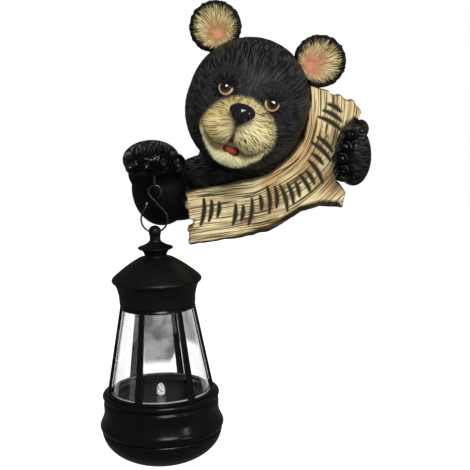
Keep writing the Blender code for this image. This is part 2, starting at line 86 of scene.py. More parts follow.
bpy.ops.mesh.primitive_plane_add(size=12.0, location=(0.0, 0.0, FLOOR_HEIGHT))
floor = bpy.context.object
floor.name = "pale_floor"
floor_paint = new_paint("pale_floor", {"Base Color": (0.9, 0.9, 0.9, 1.0), "Roughness": 0.9,
                                       "Emission Color": WHITE, "Emission Strength": 1.0})[0]
floor.data.materials.append(floor_paint)
floor.visible_glossy = False
floor.visible_diffuse = False

room = bpy.data.worlds.new("white_room")
room.use_nodes = True
air = room.node_tree
ray = add_node(air, "ShaderNodeLightPath").outputs
bounces = add_node(air, "ShaderNodeMath", {0: ray["Diffuse Depth"], 1: ray["Glossy Depth"]}, operation="ADD")
straight = add_node(air, "ShaderNodeMath", {0: bounces, 1: 0.5}, operation="LESS_THAN")
ambient = add_node(air, "ShaderNodeMath", {0: ray["Is Diffuse Ray"], 1: AIR_ON_PAINT, 2: AIR_ON_ALL},
                   operation="MULTIPLY_ADD")
strength = add_node(air, "ShaderNodeMapRange", {"Value": straight,
                                                "To Min": ambient, "To Max": 1.0})
feed(air, air.nodes["Background"], {"Color": WHITE, "Strength": strength})
scene.world = room


def soft_light(name, place, target, size, power, shines=True):
    """An area light; one that doesn't shine lights the paint but leaves no reflection in the gloss."""
    lamp = bpy.data.lights.new(name, "AREA")
    lamp.shape = "RECTANGLE"
    lamp.size, lamp.size_y = size
    lamp.energy = power
    holder = bpy.data.objects.new(name, lamp)
    holder.location = place
    holder.rotation_euler = (Vector(target) - Vector(place)).to_track_quat("-Z", "Y").to_euler()
    holder.visible_glossy = shines
    scene.collection.objects.link(holder)


soft_light("window", (0.20, -0.95, 0.60), (0.0, -0.04, -0.05), (0.5, 0.35), 8.6)
soft_light("left_fill", (-1.0, -0.55, 0.15), (0.0, -0.04, -0.1), (0.5, 1.2), 2.2, shines=False)
soft_light("right_fill", (1.1, -0.35, 0.3), (0.0, -0.04, -0.1), (0.5, 1.2), 2.8, shines=False)
soft_light("glint", (0.75, -0.75, 0.10), (0.0, -0.04, -0.05), (0.06, 0.25), 0.8)

# The camera stands a little above the head, in front and slightly left, and leans a little to one side.
CAMERA_PLACE = (-0.0118, -0.742, 0.0321)
CAMERA_DOWN = 9.8
CAMERA_LEAN = 1.5


def spin(angle, axis):
    """A turn about one axis, in degrees."""
    return Matrix.Rotation(radians(angle), 4, axis)


camera = bpy.data.cameras.new("camera")
camera.sensor_width = 36.0
camera.lens = 81.2
camera.clip_start = 0.01
eye_point = bpy.data.objects.new("camera", camera)
camera_turn = spin(90.0 - CAMERA_DOWN, "X") @ spin(-CAMERA_LEAN, "Z")
eye_point.matrix_world = Matrix.Translation(CAMERA_PLACE) @ camera_turn
scene.collection.objects.link(eye_point)
scene.camera = eye_point

# The head: part of one resin casting, modelled as clay lumps pressed together, with the fur combed
# into it as fine strokes that run back from the muzzle. All its places are shares of its radius.
HEAD_RADIUS = 41.8 * MM
FIGURE = Matrix.Scale(HEAD_RADIUS, 4)
FACE = FIGURE @ Matrix.Translation((0.0, -0.81, 0.0)) @ spin(19.5, "Y") @ spin(-3.5, "Z")
SKULL = ((0.0, 0.0, 0.0), (0.97, 0.96, 1.0))
JOWLS = ((0.0, 0.04, -0.15), (0.98, 0.90, 1.0))
MUZZLE = ((0.0, -0.86, -0.40), (0.54, 0.60, 0.43))
LIPS = [((side * 0.22 - 0.02, -1.05, -0.45), (0.345, 0.42, 0.285)) for side in (-1, 1)]
JAW = ((0.0, -0.84, -0.66), (0.49, 0.42, 0.37))
MOUTH_LINE = np.array([
    (-0.54, -0.46), (-0.47, -0.57), (-0.39, -0.635), (-0.30, -0.69), (-0.237, -0.715), (-0.109, -0.69),
    (-0.03, -0.615), (0.03, -0.64), (0.12, -0.705), (0.229, -0.75), (0.322, -0.735), (0.437, -0.65),
    (0.51, -0.585), (0.563, -0.46)])
GROOVE_DEPTH = 0.9 * MM
CREASE_DEPTH = 0.8 * MM
MOUTH_DEPTH = 2.2 * MM
LOWER_LIP_SWELL = 1.1 * MM
COMB_DEPTH = 0.12 * MM
CREAM_COMB_DEPTH = 0.06 * MM
SOCKET_DEPTH = 0.35 * MM
PATCH_WIDTH = 0.585
PATCH_HEIGHT = 0.54
PATCH_CENTRE = -0.465
FUR_STROKES = 68.0
FUR_BREAKS = 4.6
MUZZLE_STROKES = 50.0
LASH_STROKES = 10.0
NOSE_FOOT = np.array([-0.02, -0.28])
EYE_PLACES = [(-0.362, -0.858, 0.108), (0.365, -0.858, 0.090)]
NAIL_HOLE_RADIUS = 1.9 * MM
NAIL_HOLE_DEPTH = 14.0 * MM
NAIL_HOLE_HEIGHT = 10.0 * MM
HEAD_VOXEL = 0.64 * MM


def link(name, mesh):
    obj = bpy.data.objects.new(name, mesh)
    scene.collection.objects.link(obj)
    return obj


def settle(obj):
    """Takes the mesh as its modifiers leave it, and the modifiers off."""
    bpy.context.view_layer.update()
    mesh = bpy.data.meshes.new_from_object(obj.evaluated_get(bpy.context.evaluated_depsgraph_get()))
    obj.modifiers.clear()
    obj.data = mesh
    return obj


def lump(form, centre, radii, place, fine=1.0):
    """Adds an ellipsoid to a bmesh, in a frame of shares."""
    made = bmesh.ops.create_uvsphere(form, u_segments=int(64 * fine), v_segments=int(40 * fine), radius=1.0)
    shape = place @ Matrix.Translation(centre) @ Matrix.Diagonal((*radii, 1.0))
    bmesh.ops.transform(form, matrix=shape, verts=made["verts"])


def mesh_of(name, form):
    """Turns a bmesh into a named mesh."""
    mesh = bpy.data.meshes.new(name)
    form.to_mesh(mesh)
    form.free()
    return mesh


def clay(name, form, voxel, rounds):
    """Presses closed forms into one skin and smooths where they meet."""
    obj = link(name, mesh_of(name, form))
    skin = obj.modifiers.new("skin", "REMESH")
    skin.mode = "VOXEL"
    skin.voxel_size = voxel
    soft = obj.modifiers.new("soft", "SMOOTH")
    soft.factor = 0.5
    soft.iterations = rounds
    return settle(obj)


def drill(obj, radius, length, place):
    """Cuts a round hole, centred on its place and along that place's upright axis."""
    form = bmesh.new()
    bmesh.ops.create_cone(form, cap_ends=True, segments=32, radius1=radius, radius2=radius, depth=length)
    bmesh.ops.transform(form, matrix=place, verts=form.verts)
    bore = link("bore", mesh_of("bore", form))
    cut_out = obj.modifiers.new("bore", "BOOLEAN")
    cut_out.object = bore
    cut_out.operation = "DIFFERENCE"
    settle(obj)
    bpy.data.objects.remove(bore, do_unlink=True)


def read(mesh, what="co"):
    """The places of a mesh's points, or their normals."""
    values = np.empty(len(mesh.vertices) * 3)
    mesh.vertices.foreach_get(what, values)
    return values.reshape(-1, 3)


def write_points(mesh, points):
    mesh.vertices.foreach_set("co", points.ravel())
    mesh.update()


def in_shares(points, place):
    """Points as seen in a frame of shares."""
    turn = np.array(place.inverted())
    return points @ turn[:3, :3].T + turn[:3, 3]


def ripple(points, seed=0):
    """Smooth random values from -1 to 1, about one swell to each unit of length."""
    cell = np.floor(points).astype(np.int64)
    part = points - cell
    blend = part * part * (3.0 - 2.0 * part)
    total = np.zeros(len(points))
    for corner in np.ndindex(2, 2, 2):
        grid = cell + np.array(corner)
        mixed = grid[:, 0] * 374761393 + grid[:, 1] * 668265263 + grid[:, 2] * 1440662683 + seed * 97241
        mixed = ((mixed ^ (mixed >> 13)) * 1274126177) & 0xFFFFFFFF
        value = ((mixed ^ (mixed >> 16)) & 0xFFFF) / 65535.0
        weight = np.prod(np.where(np.array(corner) == 1, blend, 1.0 - blend), axis=1)
        total += weight * value
    return total * 2.0 - 1.0


def rise(low, high, value):
    """0 below low, 1 above high and a smooth step between."""
    share = np.clip((value - low) / (high - low), 0.0, 1.0)
    return share * share * (3.0 - 2.0 * share)


def mix(first, second, share):
    """A blend of two colours or runs, point by point; a share past 0 or 1 counts as 0 or 1."""
    share = np.clip(share, 0.0, 1.0)[:, None]
    return first * (1.0 - share) + second * share


def columns(*parts):
    """Points from their coordinates; the ones left out are zero."""
    return np.stack(list(parts) + [0.0 * parts[0]] * (3 - len(parts)), axis=1)


def off_ellipsoid(shares, centre, radii):
    """About how far points are outside an ellipsoid, in shares."""
    scaled = (shares - np.array(centre)) / np.array(radii)
    return (np.linalg.norm(scaled, axis=1) - 1.0) * min(radii)


def nearest_on(points, line):
    """Distance from a line of points, signed by side, and the length along it, for 2D points."""
    starts = line[:-1]
    runs = line[1:] - starts
    lengths = np.linalg.norm(runs, axis=1)
    before = np.concatenate([[0.0], np.cumsum(lengths)[:-1]])
    best = np.full(len(points), np.inf)
    side = np.zeros(len(points))
    along = np.zeros(len(points))
    for start, run, length, so_far in zip(starts, runs, lengths, before):
        offset = points - start
        share = np.clip(offset @ run / length ** 2, 0.0, 1.0)
        gap = offset - share[:, None] * run
        distance = np.linalg.norm(gap, axis=1)
        closer = distance < best
        best = np.where(closer, distance, best)
        side = np.where(closer, run[0] * offset[:, 1] - run[1] * offset[:, 0], side)
        along = np.where(closer, so_far + share * length, along)
    return np.where(side < 0.0, best, -best), along


def store(mesh, name, kind, values):
    """Keeps values on a mesh's points, for materials and node trees."""
    field = {"FLOAT": "value", "FLOAT_VECTOR": "vector", "FLOAT_COLOR": "color"}[kind]
    mesh.attributes.new(name, kind, "POINT").data.foreach_set(field, np.array(values, dtype=float).ravel())


def paint(obj, ground, stroke, gloss, flow):
    """Stores the two coats of paint, the gloss and the run of the fur on the mesh."""
    full = np.ones((len(ground), 1))
    store(obj.data, "ground", "FLOAT_COLOR", np.hstack([ground, full]))
    store(obj.data, "stroke", "FLOAT_COLOR", np.hstack([stroke, full]))
    store(obj.data, "gloss", "FLOAT", gloss)
    store(obj.data, "flow", "FLOAT_VECTOR", flow)
    obj.data.shade_smooth()


def polar_flow(shares, axis, around, along):
    """Run of fur that leaves an axis in all directions: around is strokes in a radian."""
    axis = np.array(axis) / np.linalg.norm(axis)
    reach = shares @ axis
    side = shares - reach[:, None] * axis
    width = np.linalg.norm(side, axis=1)
    angle = np.arctan2(width, reach)
    return side / np.maximum(width, 1e-9)[:, None] * around + (angle * along)[:, None] * axis


def painted_fur(name, stroke_low=0.49, stroke_high=0.60, depth=0.55):
    """Resin paint: a ground coat, thin dry-brushed strokes along the fur, and a satin or glossy skin."""
    material, tree, shader = new_paint(name, {"Specular IOR Level": 0.2})
    ground, stroke, gloss, flow = [add_node(tree, "ShaderNodeAttribute", attribute_name=source).outputs
                                   for source in ("ground", "stroke", "gloss", "flow")]
    strands = add_node(tree, "ShaderNodeTexNoise", {"Vector": flow["Vector"], "Scale": 1.0, "Detail": 0.6,
                                                    "Roughness": 0.55})
    brush = add_node(tree, "ShaderNodeMapRange", {"Value": strands, "From Min": stroke_low,
                                                  "From Max": stroke_high}, interpolation_type="SMOOTHSTEP")
    coats = add_node(tree, "ShaderNodeMix", {0: brush, 6: ground["Color"],
                                             7: stroke["Color"]}, data_type="RGBA")
    relief = add_node(tree, "ShaderNodeBump", {"Strength": depth, "Distance": 0.5 * MM, "Height": strands})
    feed(tree, shader, {"Base Color": coats.outputs[2], "Roughness": gloss["Fac"],
                        "Normal": relief})
    return material


def belongs(obj, material, node="bear_casting"):
    """Finish and place in the frame that every piece gets."""
    obj.data.materials.clear()
    obj.data.materials.append(material)
    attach(obj, "root")
    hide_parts(node)


FUR_BLACK = np.array([0.006, 0.006, 0.007])
FUR_GREY = np.array([0.043, 0.043, 0.044])
CREAM = np.array([0.60, 0.47, 0.19])
CREAM_LIGHT = np.array([0.90, 0.82, 0.47])
CREAM_SHADE = np.array([0.075, 0.050, 0.016])
PAINTED_MOUTH_SHADE = np.array([0.17, 0.115, 0.045])
PAINTED_CREASE_SHADE = np.array([0.035, 0.020, 0.010])
TONGUE_RED = np.array([0.27, 0.045, 0.026])

clay_form = bmesh.new()
for centre, radii in [SKULL, JOWLS, MUZZLE, JAW] + LIPS:
    lump(clay_form, centre, radii, FACE)
head = clay("head", clay_form, HEAD_VOXEL, 5)
nail_place = Matrix.Translation((0.0, 0.0, NAIL_HOLE_HEIGHT)) @ spin(90.0, "X")
drill(head, NAIL_HOLE_RADIUS, 2.0 * NAIL_HOLE_DEPTH, nail_place)
points = read(head.data)
normals = read(head.data, "normal")
shares = in_shares(points, FACE)
across, depth_in, up = shares.T

# The muzzle's cream patch, the groove under the nose, the mouth under the lips and the pale lower lip
patch_width = PATCH_WIDTH - 0.09 * rise(-0.60, -0.90, up) - 0.03 * rise(0.0, -0.3, across)
edge = np.hypot(across / patch_width, (up - PATCH_CENTRE) / PATCH_HEIGHT)
fur_flow = polar_flow(shares, (0.0, -1.0, -0.36), FUR_STROKES, FUR_BREAKS)
feather = ripple(fur_flow * 0.9, 3)
cream = rise(1.06, 0.92, edge + 0.05 * feather) * rise(-0.35, -0.55, depth_in)
ahead = rise(-0.80, -0.95, depth_in)
groove = np.exp(-((across + 0.025) / 0.040) ** 2) * rise(-0.70, -0.60, up) * rise(-0.20, -0.30, up) * ahead
below_lips = nearest_on(shares[:, [0, 2]], MOUTH_LINE)[0]
corners = rise(-0.56, -0.40, across) * rise(0.60, 0.48, across)
crease = np.exp(-(below_lips / 0.020) ** 2) * ahead * corners
mouth_height = 0.012 + 0.095 * rise(-0.50, -0.20, across) * rise(0.42, 0.06, across)
mouth = rise(0.0, 0.015, below_lips) * rise(mouth_height + 0.015, mouth_height - 0.015, below_lips) * ahead
below_mouth = below_lips - mouth_height
lower_lip = np.exp(-((below_mouth - 0.13) / 0.075) ** 2) * ahead * rise(1.05, 0.9, edge)
chin = rise(0.0, 0.03, below_mouth) * rise(0.50, 0.25, below_mouth) * ahead
points -= normals * (GROOVE_DEPTH * groove + CREASE_DEPTH * crease + MOUTH_DEPTH * mouth
                     - LOWER_LIP_SWELL * lower_lip)[:, None]

# Strokes on the muzzle fan out from the nose, about evenly close; round each eye they stand like lashes
fan_x = across - NOSE_FOOT[0]
fan_z = up - NOSE_FOOT[1]
fan = np.arctan2(fan_x, fan_z) + 0.06 * ripple(shares * 11.0, 5)
fan_reach = np.hypot(fan_x, fan_z)
lobe_middle = np.where(fan < -0.8, -1.85, np.where(fan > 0.8, 2.0, 0.0))
round_lobe = (fan - lobe_middle) * MUZZLE_STROKES * fan_reach ** 0.6
muzzle_flow = columns(round_lobe, lobe_middle * 9.7 + 0.4, fan_reach * 8.0)
flow = mix(fur_flow, muzzle_flow, rise(0.4, 0.6, cream))
painted_eye_shade = np.zeros(len(points))
lids = np.zeros(len(points))
in_face = rise(-0.5, -0.6, depth_in)
for eye_x, _, eye_z in EYE_PLACES:
    from_eye = np.hypot(across - eye_x, up - eye_z)
    turn = np.arctan2(across - eye_x, up - eye_z)
    lash_flow = columns(np.cos(turn) * LASH_STROKES, np.sin(turn) * LASH_STROKES, from_eye * 6.0)
    flow = mix(flow, lash_flow, rise(0.34, 0.22, from_eye) * in_face * (1.0 - rise(0.3, 0.6, cream)))
    painted_eye_shade = np.maximum(painted_eye_shade, rise(0.30, 0.12, from_eye) * in_face)
    lids = np.maximum(lids, rise(0.20, 0.12, from_eye) * in_face)
relief_flow = flow * (0.35 + 0.35 * cream)[:, None]
combed = ripple(relief_flow, 1) * (1.0 - groove) * (1.0 - mouth)
points += normals * ((COMB_DEPTH + CREAM_COMB_DEPTH * cream) * combed - SOCKET_DEPTH * lids)[:, None]
points[:, 1] = np.minimum(points[:, 1], 0.0)
write_points(head.data, points)

bold = 0.70 + 0.30 * rise(-0.05, 0.25, across) * rise(-0.25, -0.5, up)
mottle = 0.5 + 0.5 * ripple(shares * 5.0, 7)
# The cream is painted lighter on the chin and lower lip, a painted light where they face down, and lighter
# towards the middle of the patch; it is darker on the left, a painted shade; the mottle is the paint's own
# uneven tone.
pale = 0.10 + 0.5 * mottle + 0.7 * chin + 0.4 * rise(0.75, 0.3, edge)
pale -= 0.4 * rise(0.1, -0.25, across) * (1.0 - chin)
ground = mix(CREAM, CREAM_LIGHT, pale)
ground = mix(FUR_BLACK, ground, cream)
# Painted shade: the fur round each eye is painted near black, in the ground and the strokes.
ground = mix(ground, FUR_BLACK * 0.25, painted_eye_shade * (1.0 - cream))
# Painted shade: olive in the mouth under the lips and in a ring round the foot of the nose.
nose_shadow = np.exp(-((fan_reach - 0.12) / 0.09) ** 2) * rise(0.15, -0.1, fan_z) * ahead
ground = mix(ground, PAINTED_MOUTH_SHADE, 0.75 * mouth + 0.5 * nose_shadow)
# Painted shade: dark brown down the groove under the nose, darkest near the mouth, and along the mouth's
# crease.
painted_groove_shade = groove * (0.90 + 0.6 * rise(-0.45, -0.65, up))
ground = mix(ground, PAINTED_CREASE_SHADE, painted_groove_shade + crease * 0.9 * cream)
stroke = mix(FUR_GREY, CREAM_SHADE, rise(0.35, 0.9, cream))
stroke = mix(stroke, ground, cream * (1.0 - bold) + 0.6 * chin * cream + mouth + crease)
stroke = mix(stroke, FUR_BLACK, 0.6 * painted_eye_shade)
gloss = 0.52 + 0.03 * cream - 0.10 * lids
paint(head, ground, stroke, gloss, flow)
fur_coat = painted_fur("painted_fur")
belongs(head, fur_coat)

# The eyes: round beads of the same casting, painted dark above, brown and olive below and cream at the
# foot, with one white spot as a painted highlight and a black rim round the edge as painted shade,
# under a clear gloss coat that is as smooth as glass.
EYE_RADIUS = 0.120
EYE_SIDELONG = 0.35
EYE_RAISED = 0.10
PAINTED_HIGHLIGHT_STEP = np.array([0.10, 0.0, 0.17])


def ball(name, place, radii, around=96, rings=64):
    """A round form with its poles to the front and the back of its place."""
    form = bmesh.new()
    bmesh.ops.create_uvsphere(form, u_segments=around, v_segments=rings, radius=1.0)
    bmesh.ops.transform(form, matrix=spin(90.0, "X"), verts=form.verts)
    obj = link(name, mesh_of(name, form))
    unit = read(obj.data)
    write_points(obj.data, move_out(unit * np.array(radii), place))
    return obj, unit


def move_out(shares, place):
    """Points in a frame of shares, as places in the world."""
    turn = np.array(place)
    return shares @ turn[:3, :3].T + turn[:3, 3]


eye_paint = painted_fur("eye_paint", depth=0.0)
eye_shader = eye_paint.node_tree.nodes["Principled BSDF"]
feed(eye_paint.node_tree, eye_shader, {"Coat Weight": 0.8, "Coat Roughness": 0.03})
PUPIL = np.array([0.004, 0.003, 0.003])
IRIS_BROWN = np.array([0.065, 0.018, 0.008])
IRIS_OLIVE = np.array([0.22, 0.13, 0.035])
EYE_CREAM = np.array([0.92, 0.78, 0.46])
EYE_PAINTED_HIGHLIGHT = np.array([0.95, 0.95, 0.95])
for side, centre in zip(("left", "right"), EYE_PLACES):
    eye, unit = ball("eye_" + side, FACE @ Matrix.Translation(centre), (EYE_RADIUS,) * 3)
    gaze = np.array([EYE_SIDELONG * centre[0], -1.0, EYE_RAISED])
    gaze /= np.linalg.norm(gaze)
    from_gaze = np.degrees(np.arccos(np.clip(unit @ gaze, -1.0, 1.0)))
    height = unit[:, 2] - gaze[2]
    colour = mix(PUPIL, IRIS_BROWN, rise(17.0, 27.0, from_gaze) * rise(0.55, -0.25, height))
    colour = mix(colour, IRIS_OLIVE, rise(36.0, 52.0, from_gaze) * rise(0.15, -0.35, height))
    colour = mix(colour, EYE_CREAM, rise(45.0, 54.0, from_gaze) * rise(0.25, -0.15, height))
    # Painted shade: the bead is black round its edge.
    colour = mix(colour, PUPIL, rise(78.0, 88.0, from_gaze))
    # A painted highlight: one white spot above and right of the gaze, on the front only.
    spot = unit - gaze - PAINTED_HIGHLIGHT_STEP
    colour = mix(colour, EYE_PAINTED_HIGHLIGHT, rise(0.16, 0.11, np.hypot(spot[:, 0], spot[:, 2])) * (unit[:, 1] < 0.0))
    paint(eye, colour, colour * 0.9, np.full(len(unit), 0.12), unit * 3.0)
    belongs(eye, eye_paint)

# The nose: a rounded triangle of the same casting, painted gloss black over small unevennesses, with a
# dent for each nostril.
NOSE_CENTRE = (0.0, -1.455, -0.17)
NOSE_RADII = (0.185, 0.135, 0.16)
NOSTRIL_DENT = 0.20
DIMPLE_DENT = 0.06
NOSE_DENTS = 0.02
NOSE_FINE_DENTS = 0.006
NOSE_PLACE = FACE @ Matrix.Translation(NOSE_CENTRE)
nose, unit = ball("nose", NOSE_PLACE, NOSE_RADII)
in_front = unit[:, 1] < 0.0
shape = unit.copy()
shape[:, 0] *= 1.0 + 0.34 * unit[:, 2] - 0.10 * unit[:, 2] ** 2
shape[:, 2] += 0.10 * (1.0 - np.abs(unit[:, 0])) * (unit[:, 2] < 0.0) * unit[:, 2]
nostril = np.exp(-(((np.abs(unit[:, 0]) - 0.52) / 0.20) ** 2 + ((unit[:, 2] + 0.28) / 0.16) ** 2)) * in_front
dimple = np.exp(-((unit[:, 0] / 0.10) ** 2)) * rise(0.1, -0.6, unit[:, 2]) * in_front
shape *= (1.0 - NOSTRIL_DENT * nostril - DIMPLE_DENT * dimple + NOSE_DENTS * ripple(unit * 4.0, 11)
          + NOSE_FINE_DENTS * ripple(unit * 9.0, 13))[:, None]
write_points(nose.data, move_out(shape * np.array(NOSE_RADII), NOSE_PLACE))
NOSE_BLACK = np.array([0.008, 0.007, 0.008])
paint(nose, np.tile(NOSE_BLACK, (len(unit), 1)), np.tile(NOSE_BLACK * 2.0, (len(unit), 1)),
      0.14 + 0.05 * ripple(unit * 6.0, 12), unit * 9.0)
belongs(nose, eye_paint)

# The tongue: a small tip of the same casting between the lips, painted brick red without much gloss, with
# painted shade where it goes into the mouth and round its edges.
TONGUE_PLACE = FACE @ Matrix.Translation((0.005, -1.120, -0.730)) @ spin(14.0, "Y")
TONGUE_RADII = (0.145, 0.135, 0.115)
tongue, unit = ball("tongue", TONGUE_PLACE, TONGUE_RADII, 64, 40)
# Painted shade: the tongue darkens at its top and round its edges, away from its front tip.
tongue_shade = np.maximum(rise(0.0, 0.8, unit[:, 2] - 0.4 * unit[:, 0]), rise(-0.97, -0.70, unit[:, 1]))
red = mix(TONGUE_RED, TONGUE_RED * 0.30, tongue_shade)
paint(tongue, red, red * 1.3, np.full(len(unit), 0.60), unit * 5.0)
belongs(tongue, fur_coat)

# The ears: two round shells of the same casting, dished in front, with fur combed out from where each
# meets the head. Black rim, cream fur within it and bare salmon skin at the root.
EAR_PLACES = [(side * 0.862, -0.05, 0.928) for side in (-1, 1)]
EAR_RADII = (0.41, 0.17, 0.41)
EAR_DISH = (0.385, 0.145, 0.385)
EAR_STROKES = 30.0
LEFT_EAR_ROOT = 0.34
RIGHT_EAR_ROOT = 0.46
EAR_RIM_START = 0.60
EAR_EDGE_START = 0.77
EAR_NOTCH = 0.035
EAR_COMB = 0.014
EAR_DENTS = 0.010
SALMON = np.array([0.50, 0.20, 0.095])
SKIN_PINK = np.array([0.66, 0.30, 0.17])
TAN = np.array([0.36, 0.18, 0.055])
for side, centre, skin in (("left", EAR_PLACES[0], TAN), ("right", EAR_PLACES[1], SALMON)):
    place = FACE @ Matrix.Translation(centre)
    ear, unit = ball("ear_" + side, place, EAR_RADII, 280, 150)
    inward = -np.array([centre[0], 0.0, centre[2]])
    inward /= np.linalg.norm(inward)
    root = inward * (LEFT_EAR_ROOT if side == "left" else RIGHT_EAR_ROOT)
    away = unit - root
    away[:, 1] = 0.0
    length = np.linalg.norm(away, axis=1)
    heading = away / np.maximum(length, 1e-6)[:, None]
    half = heading @ root
    reach = -half + np.sqrt(half ** 2 + 1.0 - root @ root)
    spread = length / reach
    fan = np.arctan2(heading @ np.cross(inward, [0.0, 1.0, 0.0]), heading @ -inward)
    flow = columns(np.cos(fan) * EAR_STROKES, np.sin(fan) * EAR_STROKES, spread * 3.0)
    front = unit[:, 1] < 0.0
    out = np.hypot(unit[:, 0], unit[:, 2])
    shape = unit * np.array(EAR_RADII)
    inside = np.clip(1.0 - (shape[:, 0] / EAR_DISH[0]) ** 2 - (shape[:, 2] / EAR_DISH[2]) ** 2, 0.0, 1.0)
    floor_of_dish = -EAR_RADII[1] + EAR_DISH[1] * np.sqrt(inside)
    shape[:, 1] = np.where(front, np.maximum(shape[:, 1], floor_of_dish), shape[:, 1])
    combed = ripple(flow, 21)
    edge_notch = ripple(flow * 0.45, 22) * rise(0.90, 1.0, out)
    shape *= (1.0 + EAR_NOTCH * edge_notch)[:, None]
    shape[:, 1] += front * (EAR_COMB * combed * rise(0.35, 0.7, spread) + EAR_DENTS * ripple(unit * 7.0, 24))
    write_points(ear.data, move_out(shape, place))
    feather = ripple(flow * 1.3, 23)
    frayed = out + 0.05 * feather
    rim = np.maximum(rise(EAR_RIM_START, 0.80, frayed), ~front * 1.0)
    edge_rim = np.maximum(rise(EAR_EDGE_START, 0.88, frayed), ~front * 1.0)
    fur = rise(0.22, 0.78, spread + 0.20 * feather)
    colour = mix(mix(SKIN_PINK, skin, rise(0.05, 0.35, spread)), CREAM * 0.42, fur)
    stroke = mix(colour, CREAM_LIGHT, rise(0.15, 0.6, spread) * 0.8)
    stroke = mix(stroke, CREAM, rim)
    stroke = mix(stroke, FUR_GREY * 0.5, edge_rim)
    colour = mix(colour, FUR_BLACK * 0.7, rim)
    wet = rise(0.30, 0.10, spread)
    paint(ear, colour, stroke, 0.50 - 0.38 * wet, flow * 1.3)
    belongs(ear, fur_coat)

# The body: shoulders, arms and paws of the same casting, black fur combed along the arms and over
# the paws. The left paw hangs forward and carries the lantern; the right one is round the board.
# Its dry brush is lighter on upward faces, partly painted light, and it has painted shade, near black,
# low on the left and round the toes.
LEFT_PAW = ((-1.58, -1.00, -0.87), (0.45, 0.53, 0.30))
RIGHT_ARM = ((1.615, -1.02, -0.885), (0.29, 0.36, 0.49))
BODY_LUMPS = [((0.05, -0.36, -0.95), (0.90, 0.50, 0.60)), ((-0.67, -0.48, -1.20), (0.58, 0.46, 0.34)),
              ((-1.46, -0.52, -1.39), (0.49, 0.53, 0.62)), ((-1.18, -0.44, -1.55), (0.46, 0.44, 0.40)),
              LEFT_PAW, ((1.55, -0.35, -0.90), (0.36, 0.45, 0.50)), RIGHT_ARM,
              ((1.76, -0.85, -0.49), (0.13, 0.25, 0.15)), ((-1.55, -0.70, -1.13), (0.43, 0.40, 0.34))]
LEFT_TOES = [(-1.84, -0.92), (-1.60, -0.91), (-1.36, -0.88), (-1.15, -0.91)]
RIGHT_TOES = [(1.54, -0.55), (1.46, -0.74), (1.40, -0.93), (1.42, -1.12)]
BACK_INSET = 0.8 * MM
BODY_VOXEL = 0.67 * MM
LEFT_TOE_FORWARD = -1.33
RIGHT_TOE_FORWARD = -1.20
BODY_STROKES = 38.0
ARM_STROKES = 36.0
WRINKLE_DEPTH = 0.45 * MM
clay_form = bmesh.new()
for centre, radii in BODY_LUMPS:
    lump(clay_form, centre, radii, FIGURE)
for x, z in LEFT_TOES:
    lump(clay_form, (x, LEFT_TOE_FORWARD, z), (0.13, 0.2, 0.15), FIGURE, 0.5)
for x, z in RIGHT_TOES:
    lump(clay_form, (x, RIGHT_TOE_FORWARD, z), (0.15, 0.2, 0.115), FIGURE, 0.5)
body = clay("body", clay_form, BODY_VOXEL, 4)
points = read(body.data)
normals = read(body.data, "normal")
shares = in_shares(points, FIGURE)
across, depth_in, up = shares.T
at_left_paw = rise(0.10, -0.02, off_ellipsoid(shares, (-1.58, -1.05, -0.85), (0.52, 0.62, 0.40)))
at_right_arm = rise(0.9, 1.2, across)
over_paw = np.arctan2(up - LEFT_PAW[0][2], LEFT_PAW[0][1] - depth_in)
paw_flow = columns(across * ARM_STROKES, over_paw * 3.5)
round_arm = np.arctan2(depth_in + 0.9, across - 1.6)
arm_flow = columns(round_arm * 3.0, 0.0 * up, (up + 0.18 * across) * ARM_STROKES)
body_flow = polar_flow(shares - np.array([-0.3, -0.3, -1.0]), (0.0, -1.0, 0.1), BODY_STROKES, 6.0)
flow = mix(mix(body_flow, arm_flow, at_right_arm), paw_flow, at_left_paw)
toe_ends = [(x, LEFT_TOE_FORWARD - 0.16, z + 0.02) for x, z in LEFT_TOES]
toe_ends += [(x - 0.06, RIGHT_TOE_FORWARD - 0.14, z) for x, z in RIGHT_TOES]
from_toe = np.min([np.linalg.norm(shares - np.array(end), axis=1) for end in toe_ends], axis=0)
at_toe = rise(0.30, 0.16, from_toe)
wrinkle = ripple(shares * 17.0, 34) + 0.6 * ripple(shares * 34.0, 35)
points += normals * (COMB_DEPTH * ripple(flow * 0.4, 31) + WRINKLE_DEPTH * at_toe * wrinkle)[:, None]
points[:, 1] = np.minimum(points[:, 1], -BACK_INSET)
write_points(body.data, points)
# The dry brush: lighter on upward faces, partly the paint's own uneven dry brush and partly painted light
# from above.
brush_and_top_light = rise(-0.3, 0.6, ripple(shares * 2.2, 33) + 0.6 * normals[:, 2])
# Painted shade: near black low on the left and round the toes, in the ground and the strokes.
in_shade = np.maximum(rise(-0.95, -1.15, up) * rise(-0.8, -1.1, across), at_toe)
brushed = mix(FUR_GREY * 0.6, FUR_GREY * 3.1, brush_and_top_light)
paint(body, mix(FUR_BLACK * 0.8, FUR_BLACK * 0.2, in_shade), mix(brushed, FUR_BLACK * 0.4, in_shade),
      0.55 - 0.35 * at_toe, flow)
belongs(body, fur_coat)

